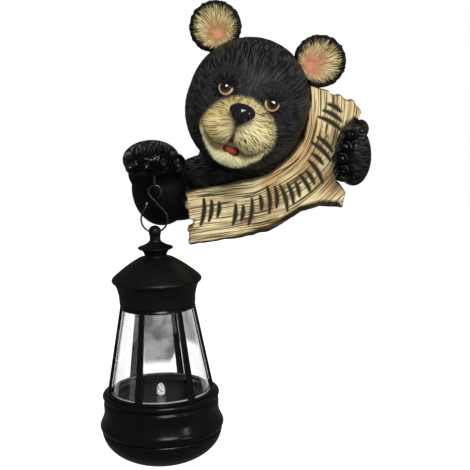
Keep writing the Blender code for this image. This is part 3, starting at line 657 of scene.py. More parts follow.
# The board: a bent plank of the same casting, modelled like split wood with long grain, cracks and
# ragged ends, painted cream and tan with dark brown in the grain, its edges and lower side dark.
# Its upper sides near the front keep the cream of the face, a painted light from above.
BOARD_FRONT = 41.0 * MM
BOARD_THICKNESS = 17.0 * MM
BACKING_INSET = 5.0 * MM
CHAMFER = 4.4 * MM
GOUGE_RADIUS = 1.6 * MM
GOUGE_DEPTH = 1.1 * MM
GOUGE_LENGTH = 17.0 * MM
GOUGE_PITCH = 5.4 * MM
GOUGE_POINTS = 9
GOUGE_LEAN = 0.3
GOUGE_BOW = 0.07
GRAIN_LINES = 30.0
GRAIN_DEPTH = 0.16 * MM
COARSE_GRAIN_DEPTH = 0.22 * MM
CRACK_DEPTH = 0.55 * MM
GOUGE_CLUSTERS = [(-0.67, -1.73, 8.0), (-0.16, -1.78, 8.0), (0.26, -1.58, 20.0), (0.62, -1.49, 32.0),
                  (0.94, -1.24, 48.0), (1.12, -0.83, 62.0), (1.30, -0.27, 74.0)]
BOARD_VOXEL = 0.61 * MM
WOOD_CREAM = np.array([0.92, 0.77, 0.43])
WOOD_TAN = np.array([0.70, 0.48, 0.21])
WOOD_PINK = np.array([0.62, 0.38, 0.23])
WOOD_BROWN = np.array([0.060, 0.030, 0.011])
WOOD_DARK = np.array([0.034, 0.028, 0.015])


def board_outline():
    """The board seen from the front, in shares: a ragged bent plank that follows the head's round."""
    top_end = [(1.25, 0.13), (1.38, 0.06), (1.57, -0.02), (1.69, -0.11), (1.74, -0.22), (1.72, -0.35)]
    right_edge = [(1.50, -0.55), (1.41, -0.83), (1.35, -1.05), (1.36, -1.30), (1.51, -1.49), (1.45, -1.74)]
    bottom_edge = [(1.08, -1.72), (0.80, -1.79), (0.55, -1.94), (0.27, -2.10), (-0.16, -2.19), (-0.59, -2.24)]
    left_end = [(-1.02, -2.275), (-1.045, -2.12), (-0.965, -1.90), (-1.0, -1.79), (-1.07, -1.65),
                (-1.065, -1.43)]
    inner_edge = [(-0.84, -1.38), (-0.45, -1.32), (-0.01, -1.265)]
    turns = ((-75.0, 1.205), (-56.0, 1.11), (-37.0, 1.05), (-18.0, 0.97), (0.0, 0.96), (13.0, 0.98))
    round_head = [(r * cos(radians(a)), r * sin(radians(a))) for a, r in turns]
    return top_end + right_edge + bottom_edge + left_end + inner_edge + round_head


def close_points(corners, spacing):
    """A closed outline with points a short way apart."""
    corners = np.array(corners)
    filled = []
    for start, end in zip(corners, np.roll(corners, -1, axis=0)):
        count = max(1, int(np.linalg.norm(end - start) / spacing))
        filled += [start + (end - start) * i / count for i in range(count)]
    return np.array(filled)


def gouge_paths():
    """Seven clusters of short curved gouges along the board."""
    paths = []
    for number, (x, z, turn) in enumerate(GOUGE_CLUSTERS):
        lean = -radians(turn)
        for k in range(3):
            length = GOUGE_LENGTH * (1.0 - 0.22 * ((number + k) % 3))
            s = np.linspace(-0.5, 0.5, GOUGE_POINTS)
            bow = GOUGE_BOW * length * (1.0 - 4.0 * s * s)
            across_row = (k - 1) * GOUGE_PITCH + GOUGE_LEAN * s * length + bow
            along_row = s * length
            paths.append(np.stack([
                x * HEAD_RADIUS + across_row * cos(lean) + along_row * sin(lean),
                z * HEAD_RADIUS - across_row * sin(lean) + along_row * cos(lean)], axis=1))
    return paths


# The grain follows the board's inner edge: straight under the chin and then round the head
grain_turns = [(radians(a), 1.205 - 0.205 * min(1.0, (a + 75.0) / 60.0)) for a in range(-75, 60, 5)]
grain_line = np.array([(-2.2, -1.57), (-0.84, -1.38), (-0.45, -1.33), (-0.01, -1.265)]
                      + [(r * cos(a), r * sin(a)) for a, r in grain_turns])
outline = close_points(board_outline(), 0.012)
from_edge, along_edge = nearest_on(outline, grain_line)
at_ends = rise(-0.45, -0.1, outline[:, 1]) * rise(1.2, 1.3, outline[:, 0])
at_ends = np.maximum(rise(-0.86, -1.0, outline[:, 0]), at_ends)
jag = 0.045 * at_ends * ripple(columns(from_edge * 16.0, along_edge * 2.0), 41)
jag += 0.010 * ripple(columns(*(outline.T * 9.0)), 42)
tangent = np.roll(outline, -1, axis=0) - np.roll(outline, 1, axis=0)
tangent /= np.linalg.norm(tangent, axis=1)[:, None]
outline = outline + np.stack([-tangent[:, 1], tangent[:, 0]], axis=1) * jag[:, None]


def skin(form, rings):
    """Faces from each closed ring of corners to the next; a ring of one corner is a tip."""
    for near, far in zip(rings, rings[1:]):
        for step in range(max(len(near), len(far))):
            corners = [near[step % len(near)], near[(step + 1) % len(near)],
                       far[(step + 1) % len(far)], far[step % len(far)]]
            corners = list(dict.fromkeys(corners))
            if len(corners) > 2:
                form.faces.new(corners)


def plank(form, layers):
    """A slab through outlines of as many points, each at its own depth, from the back to the front."""
    rows = [[form.verts.new((x, -depth, z)) for x, z in line * HEAD_RADIUS] for line, depth in layers]
    form.faces.new(rows[0])
    form.faces.new(rows[-1][::-1])
    skin(form, rows)


clay_form = bmesh.new()
inward = np.stack([tangent[:, 1], -tangent[:, 0]], axis=1)
under = rise(0.4, 0.8, inward[:, 1]) * (0.35 + 0.65 * rise(-0.5, 0.3, outline[:, 0]))
chamfer = (0.3 * MM + CHAMFER * under) / HEAD_RADIUS
front_outline = outline + inward * chamfer[:, None]
plank(clay_form, [(outline, BOARD_FRONT - BOARD_THICKNESS), (outline, BOARD_FRONT - CHAMFER),
                  (front_outline, BOARD_FRONT)])
backing = (outline + inward * BACKING_INSET / HEAD_RADIUS)[::4]
plank(clay_form, [(backing, 0.0), (backing, BOARD_FRONT - BOARD_THICKNESS / 2.0)])
bmesh.ops.recalc_face_normals(clay_form, faces=clay_form.faces)
board = clay("board", clay_form, BOARD_VOXEL, 2)
points = read(board.data)
normals = read(board.data, "normal")
flat = points[:, [0, 2]] / HEAD_RADIUS
from_edge, along_edge = nearest_on(flat, grain_line)
swerve = 0.030 * ripple(columns(*(flat.T * 2.2)), 43)
grain = columns((from_edge + swerve) * GRAIN_LINES, along_edge * 1.6)
fine = ripple(grain, 44)
coarse = ripple(grain * np.array([0.36, 0.7, 1.0]), 45)
split_ends = rise(-0.35, -0.1, flat[:, 1]) * rise(1.15, 1.3, flat[:, 0])
split_ends = np.maximum(rise(-0.72, -1.0, flat[:, 0]), split_ends)
crack = np.exp(-((ripple(grain * np.array([0.42, 0.45, 1.0]), 46)) / (0.045 + 0.07 * split_ends)) ** 2)
crack *= np.maximum(rise(0.0, 0.35, ripple(grain * np.array([0.12, 0.9, 1.0]), 47)), split_ends)
on_front = rise(0.5, 0.85, -normals[:, 1]) * rise(0.0, -0.5 * MM, points[:, 1] + BOARD_FRONT - 0.8 * MM)
cut = np.zeros(len(points))
for path in gouge_paths():
    near = np.abs(points[:, [0, 2]] - path.mean(axis=0)).max(axis=1) < GOUGE_LENGTH
    gap, along = nearest_on(points[near][:, [0, 2]], path)
    end_share = np.abs(2.0 * along / np.linalg.norm(path[-1] - path[0]) - 1.0)
    radius = GOUGE_RADIUS * (1.15 - 0.55 * np.clip(end_share, 0.0, 1.0) ** 2)
    cut[near] = np.maximum(cut[near], rise(1.2, 0.5, np.abs(gap) / radius))
relief = GRAIN_DEPTH * fine + COARSE_GRAIN_DEPTH * coarse - CRACK_DEPTH * crack
points[:, 1] -= on_front * (relief * (1.0 - 0.7 * cut) - GOUGE_DEPTH * cut)
points += normals * ((1.0 - on_front) * 0.25 * MM * ripple(points * 420.0, 48))[:, None]
points[:, 1] = np.minimum(points[:, 1], 0.0)
write_points(board.data, points)
blotch = columns(*(flat.T * 3.1))
colour = mix(WOOD_CREAM, WOOD_TAN, rise(-0.1, 0.9, ripple(blotch, 51) + 0.5 * coarse))
colour = mix(colour, WOOD_PINK, 0.45 * rise(0.15, 0.7, ripple(blotch * 1.7, 52)))
dark_grain = 0.95 * crack + 0.5 * rise(-0.1, -0.8, fine + 0.4 * coarse)
colour = mix(colour, WOOD_BROWN, dark_grain)
from_rim = np.abs(nearest_on(flat, np.vstack([front_outline, front_outline[:1]]))[0]) * HEAD_RADIUS
rims = rise(0.9 * MM, 0.0, from_rim)
colour = mix(colour, WOOD_BROWN, 0.6 * rims)
colour = mix(colour, WOOD_DARK, cut * 1.1)
# Painted light: the upper sides near the front keep the cream of the face; the other sides and the back are
# dark.
lit_side = rise(-0.2, 0.5, normals[:, 2]) * rise(-15.0 * MM, -30.0 * MM, points[:, 1]) * 0.7
colour = mix(WOOD_DARK, colour, np.maximum(on_front, lit_side) * 1.2)
stroke = mix(colour, WOOD_BROWN, 0.92 * on_front * (1.0 - cut))
stroke = mix(stroke, WOOD_TAN * 0.35, (1.0 - on_front) * 0.5)
paint(board, colour, stroke, 0.56 + 0.06 * coarse, grain * np.array([1.7, 1.0, 1.0]))
wood_paint = painted_fur("wood_paint", 0.52, 0.59, 0.45)
belongs(board, wood_paint)

# The claws: eight short curved nails of the same casting, painted gloss black, one out of each toe.
# One claw is modelled and set on every toe's end, sized and turned there.
CLAW_LENGTH = 6.4 * MM
CLAW_RADIUS = 3.0 * MM
CLAW_ROWS = 10
CLAW_SIDES = 16
claw_corners = [2.0 * pi * corner / CLAW_SIDES for corner in range(CLAW_SIDES)]
form = bmesh.new()
rings = []
for row in range(CLAW_ROWS + 1):
    share = row / CLAW_ROWS
    radius = CLAW_RADIUS * sqrt(max(0.0, 1.0 - share ** 1.7)) * (1.0 - 0.25 * share)
    sag = 0.28 * CLAW_LENGTH * share ** 2
    rings.append([form.verts.new((radius * cos(turn), -share * CLAW_LENGTH, -0.85 * radius * sin(turn) - sag))
                  for turn in claw_corners])
skin(form, rings)
form.faces.new(rings[0])
bmesh.ops.remove_doubles(form, verts=form.verts, dist=1e-6)
bmesh.ops.recalc_face_normals(form, faces=form.faces)
claw_mesh = mesh_of("claw", form)
claw_mesh.shade_smooth()
claw_shape = link("claw_shape", claw_mesh)

claw_roots = [(x, LEFT_TOE_FORWARD - 0.12, z + 0.02) for x, z in LEFT_TOES]
claw_roots += [(x - 0.08, RIGHT_TOE_FORWARD - 0.10, z) for x, z in RIGHT_TOES]
claw_turns = [(0.15, 0.0, turn) for turn in (-0.35, -0.12, 0.1, 0.3)] + [(0.1, -0.5, -0.55)] * 4


def scatter_tree():
    """Geometry Nodes that set a copy of one shape on every point, turned and sized by the point's own."""
    tree = bpy.data.node_groups.new("set_copies", "GeometryNodeTree")
    for label, way, kind in (("Geometry", "INPUT", "Geometry"), ("Geometry", "OUTPUT", "Geometry"),
                             ("Shape", "INPUT", "Object"), ("Finish", "INPUT", "Material")):
        tree.interface.new_socket(label, in_out=way, socket_type="NodeSocket" + kind)
    given = add_node(tree, "NodeGroupInput").outputs
    shape_in = add_node(tree, "GeometryNodeObjectInfo", {"Object": given["Shape"]})
    turn = add_node(tree, "GeometryNodeInputNamedAttribute", {"Name": "turn"}, data_type="FLOAT_VECTOR")
    size = add_node(tree, "GeometryNodeInputNamedAttribute", {"Name": "size"}, data_type="FLOAT")
    copies = add_node(tree, "GeometryNodeInstanceOnPoints", {
        "Points": given["Geometry"], "Instance": shape_in.outputs["Geometry"],
        "Rotation": turn.outputs["Attribute"], "Scale": size.outputs["Attribute"]})
    real = add_node(tree, "GeometryNodeRealizeInstances", {"Geometry": copies})
    finish = add_node(tree, "GeometryNodeSetMaterial", {"Geometry": real, "Material": given["Finish"]})
    add_node(tree, "NodeGroupOutput", {"Geometry": finish})
    return tree


def set_copies(name, shape, finish, places, turns, sizes):
    """One plain mesh of copies of a shape, each with its own place, turn and size; the shape then goes."""
    base = bpy.data.meshes.new(name)
    base.from_pydata(places, [], [])
    store(base, "turn", "FLOAT_VECTOR", turns)
    store(base, "size", "FLOAT", sizes)
    obj = link(name, base)
    nodes = obj.modifiers.new(name, "NODES")
    nodes.node_group = SET_COPIES
    values = {"Shape": shape, "Finish": finish}
    for socket in SET_COPIES.interface.items_tree:
        if socket.name in values:
            nodes[socket.identifier] = values[socket.name]
    settle(obj)
    bpy.data.objects.remove(shape, do_unlink=True)
    return obj


SET_COPIES = scatter_tree()
claw_paint, tree, shader = new_paint("claw_paint", {"Base Color": (0.007, 0.007, 0.008, 1.0)})
object_place = add_node(tree, "ShaderNodeTexCoord").outputs["Object"]
spots = add_node(tree, "ShaderNodeTexNoise", {"Vector": object_place, "Scale": 900.0})
sheen = add_node(tree, "ShaderNodeMapRange", {"Value": spots, "To Min": 0.08, "To Max": 0.24})
dents = add_node(tree, "ShaderNodeBump", {"Height": spots, "Strength": 0.7, "Distance": 0.5 * MM})
feed(tree, shader, {"Normal": dents, "Roughness": sheen})
claw_places = [tuple(HEAD_RADIUS * c for c in place) for place in claw_roots]
claws = set_copies("claws", claw_shape, claw_paint, claw_places, claw_turns, [1.0] * 4 + [0.85] * 4)
belongs(claws, claw_paint)

# The wires: a bent steel eye glued into the paw and an S-hook through it, both 1.2 mm black-grey wire
# that was drawn, bent cold and left bare, so that it shines along its length.
WIRE_RADIUS = 0.6 * MM
EYE_LOOP_RADIUS = 3.1 * MM
EYE_LEG = 3.6 * MM
EYE_SHANK = 5.0 * MM
HOOK_UPPER_RADIUS = 4.2 * MM
HOOK_LOWER_RADIUS = 8.7 * MM
HOOK_CENTRE_DROP = 18.3 * MM
HOOK_SIDESTEP = -1.1 * MM
HOOK_TIP_TURN = -65.0
HOOK_LOWER_TURN = -250.0
HOOK_TAIL = 8.0 * MM
HANG_DEPTH = 52.0 * MM
FIT = 0.3 * MM
HANGER_SIDESTEP = 0.06
CLOUD_SCALE = 45.0


def arc(centre, radius, start, end, count):
    """Points on a circle in a plane of (across, up), start and end in degrees."""
    turns = [radians(start + (end - start) * i / (count - 1)) for i in range(count)]
    return [(centre[0] + radius * cos(a), centre[1] + radius * sin(a)) for a in turns]


def wire(name, points, node):
    """A round wire with ends a little rounded off, closed and smooth."""
    curve = bpy.data.curves.new(name, "CURVE")
    curve.dimensions = "3D"
    curve.bevel_depth = WIRE_RADIUS
    curve.bevel_resolution = 6
    curve.use_fill_caps = True
    spline = curve.splines.new("POLY")
    points = [Vector(point) for point in points]
    first = points[0] + (points[0] - points[1]).normalized() * 0.35 * WIRE_RADIUS
    last = points[-1] + (points[-1] - points[-2]).normalized() * 0.35 * WIRE_RADIUS
    spline.points.add(len(points) + 1)
    for slot, point in zip(spline.points, [first] + points + [last]):
        slot.co = (*point, 1.0)
    spline.points[0].radius = 0.6
    spline.points[-1].radius = 0.6
    obj = link(name, curve)
    bpy.context.view_layer.update()
    mesh = bpy.data.meshes.new_from_object(obj.evaluated_get(bpy.context.evaluated_depsgraph_get()))
    bpy.data.objects.remove(obj, do_unlink=True)
    form = bmesh.new()
    form.from_mesh(mesh)
    bmesh.ops.remove_doubles(form, verts=form.verts, dist=1e-6)
    bmesh.ops.recalc_face_normals(form, faces=form.faces)
    form.to_mesh(mesh)
    form.free()
    mesh.shade_smooth()
    belongs(link(name, mesh), WIRE_STEEL, node)


def plain_finish(name, colour, rough_low, rough_high, grain_scale, bump, metallic=0.0):
    """A moulded or drawn surface: even colour with a fine grain in its gloss and its relief."""
    material, tree, shader = new_paint(name, {"Metallic": metallic, "Specular IOR Level": 0.27})
    place = add_node(tree, "ShaderNodeTexCoord").outputs["Object"]
    cloud = add_node(tree, "ShaderNodeTexNoise", {"Vector": place, "Scale": CLOUD_SCALE, "Detail": 4.0})
    gloss = add_node(tree, "ShaderNodeMapRange", {"Value": cloud, "From Min": 0.3, "From Max": 0.7,
                                                  "To Min": rough_low, "To Max": rough_high})
    paler = (*[1.6 * c + 0.001 for c in colour], 1.0)
    tint = add_node(tree, "ShaderNodeMix", {0: cloud, 6: (*colour, 1.0), 7: paler}, data_type="RGBA")
    grain = add_node(tree, "ShaderNodeTexNoise", {"Vector": place, "Scale": grain_scale, "Detail": 2.0})
    relief = add_node(tree, "ShaderNodeBump", {"Height": grain, "Strength": bump,
                                               "Distance": 0.1 * MM})
    feed(tree, shader, {"Base Color": tint.outputs[2], "Roughness": gloss, "Normal": relief})
    return material


WIRE_STEEL = plain_finish("wire_steel", (0.11, 0.11, 0.115), 0.20, 0.36, 2500.0, 0.3, metallic=1.0)
eye_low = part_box("paw_eye")[0]
eye_across = (LEFT_PAW[0][0] + HANGER_SIDESTEP) * HEAD_RADIUS
paw_face = eye_low[2] + WIRE_RADIUS + EYE_LEG + EYE_LOOP_RADIUS
eye_wire = [(-EYE_LOOP_RADIUS, paw_face + EYE_SHANK), (-EYE_LOOP_RADIUS, paw_face)]
eye_wire += arc((0.0, paw_face - EYE_LEG), EYE_LOOP_RADIUS, 180.0, 360.0, 33)
eye_wire += [(EYE_LOOP_RADIUS, paw_face), (EYE_LOOP_RADIUS, paw_face + EYE_SHANK)]
wire("hanging_eye", [(eye_across, y - HANG_DEPTH, z) for y, z in eye_wire], "paw_eye")

upper_bow = Vector((eye_across, eye_low[2] + 3.0 * WIRE_RADIUS + FIT - HOOK_UPPER_RADIUS))
lower_bow = upper_bow + Vector((HOOK_SIDESTEP, -HOOK_CENTRE_DROP))
gap = lower_bow - upper_bow
crossing = acos((HOOK_UPPER_RADIUS + HOOK_LOWER_RADIUS) / gap.length)
leave = degrees(atan2(gap.y, gap.x) - crossing)
hook_wire = arc(upper_bow, HOOK_UPPER_RADIUS, HOOK_TIP_TURN, leave + 360.0, 40)
hook_wire += arc(lower_bow, HOOK_LOWER_RADIUS, leave + 180.0, leave + 180.0 + HOOK_LOWER_TURN, 56)
hook_end = Vector(hook_wire[-1])
hook_wire.append(tuple(hook_end + (hook_end - Vector(hook_wire[-2])).normalized() * HOOK_TAIL))
wire("hook", [(x, -HANG_DEPTH, z) for x, z in hook_wire], "s_hook")

# The lantern's roof: black satin plastic moulded in one with its knob, flange and band, hollow below.
# Its knob is bored through for the hook. Everything under it is turned about the same axis.
KNOB_RADIUS = 4.3 * MM
KNOB_HOLE_RADIUS = 1.7 * MM
NECK_RADIUS = 3.6 * MM
FLANGE_RADIUS = 11.9 * MM
FLANGE_DROP = 10.5 * MM
COLLAR_RADIUS = 7.2 * MM
COLLAR_DROP = 5.8 * MM
ROOF_RADIUS = 30.0 * MM
ROOF_RISE = 15.6 * MM
ROOF_BAND_RADIUS = 25.2 * MM
ROOF_BAND_DROP = 15.9 * MM
ROOF_WALL = 2.2 * MM
TURN_STEPS = 144
TURNS = [2.0 * pi * step / TURN_STEPS for step in range(TURN_STEPS)]
roof_low, roof_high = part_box("lantern_roof")
AXIS = ((roof_low[0] + roof_high[0]) / 2.0, (roof_low[1] + roof_high[1]) / 2.0)
KNOB_HEIGHT = roof_high[2] - KNOB_RADIUS
LANTERN_BLACK = plain_finish("lantern_black", (0.0025, 0.0025, 0.003), 0.17, 0.25, 1400.0, 0.08)
ROOF_BLACK = plain_finish("roof_black", (0.0025, 0.0025, 0.003), 0.36, 0.46, 1400.0, 0.08)


def rounded(profile, rounds=2):
    """Cuts the corners of a profile again and again, so that moulded edges come out soft."""
    for _ in range(rounds):
        softer = [profile[0]]
        for (r0, z0), (r1, z1) in zip(profile, profile[1:]):
            softer.append((r0 * 0.75 + r1 * 0.25, z0 * 0.75 + z1 * 0.25))
            softer.append((r0 * 0.25 + r1 * 0.75, z0 * 0.25 + z1 * 0.75))
        softer.append(profile[-1])
        profile = softer
    return profile


def soften(mesh, sharp=50.0):
    """Smooth shading, with every edge sharper than this many degrees kept crisp."""
    mesh.shade_smooth()
    mesh.set_sharp_from_angle(angle=radians(sharp))


def turned(name, profile, closed=False):
    """A profile of (radius, height) pairs, turned about the lantern's axis into one closed skin."""
    form = bmesh.new()
    rings = [[form.verts.new((AXIS[0] + radius * cos(angle), AXIS[1] + radius * sin(angle), height))
              for angle in (TURNS if radius > 1e-7 else TURNS[:1])] for radius, height in profile]
    skin(form, rings + rings[:1] if closed else rings)
    bmesh.ops.recalc_face_normals(form, faces=form.faces)
    mesh = mesh_of(name, form)
    soften(mesh)
    return link(name, mesh)


flange = KNOB_HEIGHT - FLANGE_DROP
collar = flange - COLLAR_DROP
rim = collar - ROOF_RISE
band = rim - ROOF_BAND_DROP
neck_turn = -degrees(acos(NECK_RADIUS / KNOB_RADIUS))
knob = [(0.0, KNOB_HEIGHT + KNOB_RADIUS)]
knob += [(r, KNOB_HEIGHT + z) for r, z in arc((0.0, 0.0), KNOB_RADIUS, 84.0, neck_turn, 18)]
knob.append((NECK_RADIUS, KNOB_HEIGHT - FLANGE_DROP * 0.5))
for share, lift in [(0.08, 0.37), (0.60, 0.13), (0.93, 0.06), (1.0, 0.0), (0.93, -0.06), (0.62, -0.15)]:
    knob.append((NECK_RADIUS + share * (FLANGE_RADIUS - NECK_RADIUS), flange + FLANGE_DROP * lift))
knob.append((COLLAR_RADIUS * 1.04, collar + 0.28 * COLLAR_DROP))
knob.append((COLLAR_RADIUS, collar))
roof_shares = [(0.35, 0.03), (0.45, 0.13), (0.635, 0.36), (0.80, 0.60), (0.955, 0.85), (0.99, 0.93),
               (1.0, 1.0), (0.985, 1.06), (0.95, 1.09), (0.925, 1.16), (0.895, 1.30)]
cover = knob + [(ROOF_RADIUS * out, collar - ROOF_RISE * down) for out, down in roof_shares]
cover.append((ROOF_BAND_RADIUS * 1.03, rim - 0.52 * ROOF_BAND_DROP))
cover.append((ROOF_BAND_RADIUS * 1.01, rim - 0.66 * ROOF_BAND_DROP))
cover.append((ROOF_BAND_RADIUS * 1.004, band + 0.1 * ROOF_BAND_DROP))
cover.append((ROOF_BAND_RADIUS, band))
lining = [(ROOF_BAND_RADIUS - ROOF_WALL, band), (ROOF_BAND_RADIUS - ROOF_WALL, rim - 0.40 * ROOF_BAND_DROP),
          (ROOF_RADIUS * 0.86, rim + 0.02 * ROOF_RISE), (ROOF_RADIUS * 0.45, collar - 0.36 * ROOF_RISE),
          (0.0, collar - 0.30 * ROOF_RISE)]
roof = turned("roof", rounded(cover) + lining)
bore_place = Matrix.Translation((AXIS[0], AXIS[1], KNOB_HEIGHT)) @ spin(90.0, "Y")
drill(roof, KNOB_HOLE_RADIUS, 4.0 * KNOB_RADIUS, bore_place)
soften(roof.data)
belongs(roof, ROOF_BLACK, "lantern_roof")

# The cage: six tapered ribs between an upper and a lower ring, one black moulding that the roof's band
# and the base's lip grip. One rib is modelled and set six times round the axis.
CAGE_HEIGHT = 60.2 * MM
CAGE_RING_HEIGHT = 2.4 * MM
CAGE_SPREAD = 11.1 * MM
RIB_INSET = 0.4 * MM
RIB_TOP_WIDTH = 3.4 * MM
RIB_BOTTOM_WIDTH = 5.2 * MM
RIB_THICKNESS = 2.0 * MM
RIB_COUNT = 6
RIB_TURN = radians(9.0)
FOOT_RING_STANDS = 0.8 * MM
FOOT_RING_SUNK = 1.5 * MM
CAGE_EDGE = 0.35 * MM
RIB_EDGE = 0.5 * MM


def rib_outer(drop):
    """Radius of the ribs' outer face at a drop below the band."""
    return ROOF_BAND_RADIUS - RIB_INSET + CAGE_SPREAD * drop / CAGE_HEIGHT


def wall_outer(drop):
    """Radius of the clear wall's outer face, just inside the ribs."""
    return rib_outer(drop) - RIB_THICKNESS - FIT


cage_rings = []
for name, drop, low, stands in (
        ("top_ring", FIT, FIT + CAGE_RING_HEIGHT, 0.0),
        ("foot_ring", CAGE_HEIGHT - CAGE_RING_HEIGHT + FOOT_RING_SUNK, CAGE_HEIGHT, FOOT_RING_STANDS)):
    section = [(rib_outer(drop) + stands - CAGE_EDGE, band - drop),
               (rib_outer(drop) + stands, band - drop - CAGE_EDGE),
               (rib_outer(low) + stands, band - low + CAGE_EDGE),
               (rib_outer(low) + stands - CAGE_EDGE, band - low),
               (wall_outer(low) + FIT, band - low), (wall_outer(low) + FIT, band - drop)]
    cage_rings.append(turned(name, section, closed=True))

form = bmesh.new()
bmesh.ops.create_cube(form, size=1.0)
for vert in form.verts:
    at_top = vert.co.z > 0.0
    drop = FIT + 0.3 * CAGE_RING_HEIGHT if at_top else CAGE_HEIGHT - 0.3 * CAGE_RING_HEIGHT
    width = RIB_TOP_WIDTH if at_top else RIB_BOTTOM_WIDTH
    radius = rib_outer(drop) - (0.1 * MM if vert.co.x > 0.0 else RIB_THICKNESS)
    vert.co = (radius, vert.co.y * width, band - drop)
long_edges = [edge for edge in form.edges
              if abs(edge.verts[0].co.z - edge.verts[1].co.z) > CAGE_HEIGHT / 2.0]
bmesh.ops.bevel(form, geom=long_edges, offset=RIB_EDGE, segments=4, profile=0.5, affect="EDGES")
rib_mesh = mesh_of("rib", form)
soften(rib_mesh)
rib_shape = link("rib_shape", rib_mesh)

rib_turns = [(0.0, 0.0, RIB_TURN + 2.0 * pi * number / RIB_COUNT) for number in range(RIB_COUNT)]
cage = set_copies("cage", rib_shape, LANTERN_BLACK, [(*AXIS, 0.0)] * RIB_COUNT, rib_turns, [1.0] * RIB_COUNT)
form = bmesh.new()
for part in cage_rings + [cage]:
    form.from_mesh(part.data)
form.to_mesh(cage.data)
form.free()
for ring in cage_rings:
    bpy.data.objects.remove(ring, do_unlink=True)
belongs(cage, LANTERN_BLACK, "lantern_cage")

# The chimney: a clear plastic cone, blow-moulded thin, tucked up into the roof and down into the base.
# Its foot is a thicker rolled edge with a pale line that is a painted highlight, and a mottled grey on
# its back wall is a painted reflection.
CHIMNEY_WALL = 1.2 * MM
CHIMNEY_TUCK = 4.0 * MM
FLOOR_SINK = 3.6 * MM
REFLECTION_DROP = 53.0 * MM
REFLECTION_LIFT = 18.0 * MM
FOOT_ROLL = 1.7
CLEAR_TINT = (0.95, 0.955, 0.96, 1.0)
REFLECTION_DARK = (0.09, 0.09, 0.085, 1.0)
REFLECTION_PALE = (0.32, 0.32, 0.31, 1.0)
FOOT_LINE_SHARE = 0.5
clear, tree, shader = new_paint("clear_plastic", {"IOR": 1.45})
wall_place = add_node(tree, "ShaderNodeTexCoord").outputs["Object"]
wall = add_node(tree, "ShaderNodeSeparateXYZ", {"Vector": wall_place}).outputs
haze = add_node(tree, "ShaderNodeTexNoise", {"Vector": wall_place, "Scale": 60.0, "Detail": 5.0})
haze_range = add_node(tree, "ShaderNodeMapRange", {"Value": haze, "From Min": 0.35, "From Max": 0.75,
                                                   "To Min": 0.0, "To Max": 0.10})


def step_up(value, low, high, down=False):
    """A smooth step along one of the wall's coordinates."""
    return add_node(clear.node_tree, "ShaderNodeMapRange", {
        "Value": value, "From Min": low, "From Max": high, "To Min": float(down), "To Max": float(not down)},
        interpolation_type="SMOOTHSTEP")


def combine(operation, first, second):
    """One sum on two values or outputs."""
    return add_node(clear.node_tree, "ShaderNodeMath", {0: first, 1: second}, operation=operation)


def tinted(first, second, share):
    """Two tints of the clear plastic mixed; each is a colour or another mix."""
    mixed = add_node(clear.node_tree, "ShaderNodeMix", {0: share, 6: first, 7: second}, data_type="RGBA")
    return mixed.outputs[2]


# A painted reflection: dark and pale grey on the back wall, above an edge that rises to the right, from a
# little left of the middle.
at_back = step_up(wall["Y"], AXIS[1] + 1.0 * MM, AXIS[1] + 4.0 * MM)
reflection_side = step_up(wall["X"], AXIS[0] - 15.0 * MM, AXIS[0] - 12.0 * MM)
reflection_lift = combine("MULTIPLY", step_up(wall["X"], AXIS[0] + 4.0 * MM, AXIS[0] + 16.0 * MM), REFLECTION_LIFT)
reflection_edge = band - REFLECTION_DROP
above_edge = step_up(combine("SUBTRACT", wall["Z"], reflection_lift), reflection_edge, reflection_edge + 6.0 * MM)
painted_reflection = combine("MULTIPLY", combine("MULTIPLY", at_back, reflection_side), above_edge)
# A painted highlight: a thin pale line round the foot, where the wall lets less light through.
foot_line_height = band - CAGE_HEIGHT + 0.8 * MM
painted_foot_line = combine("MULTIPLY", step_up(wall["Z"], foot_line_height - 0.3 * MM, foot_line_height),
                step_up(wall["Z"], foot_line_height + 0.2 * MM, foot_line_height + 0.8 * MM, down=True))
clear_and_reflection = tinted(CLEAR_TINT, tinted(REFLECTION_DARK, REFLECTION_PALE, step_up(haze, 0.35, 0.65)), painted_reflection)
clearness = combine("SUBTRACT", 1.0, combine("MULTIPLY", painted_foot_line, FOOT_LINE_SHARE))
feed(tree, shader, {"Base Color": clear_and_reflection, "Roughness": haze_range,
                    "Transmission Weight": clearness})
foot = CAGE_HEIGHT + FLOOR_SINK
section = [(wall_outer(0.0), band + CHIMNEY_TUCK), (wall_outer(0.0), band), (wall_outer(foot), band - foot),
           (wall_outer(foot) - FOOT_ROLL * CHIMNEY_WALL, band - foot),
           (wall_outer(foot - 1.5 * MM) - FOOT_ROLL * CHIMNEY_WALL, band - foot + 1.2 * MM),
           (wall_outer(foot - 2.2 * MM) - CHIMNEY_WALL, band - foot + 2.2 * MM),
           (wall_outer(0.0) - CHIMNEY_WALL, band), (wall_outer(0.0) - CHIMNEY_WALL, band + CHIMNEY_TUCK)]
chimney = turned("chimney", section, closed=True)
soften(chimney.data, 20.0)
belongs(chimney, clear, "lantern_chimney")

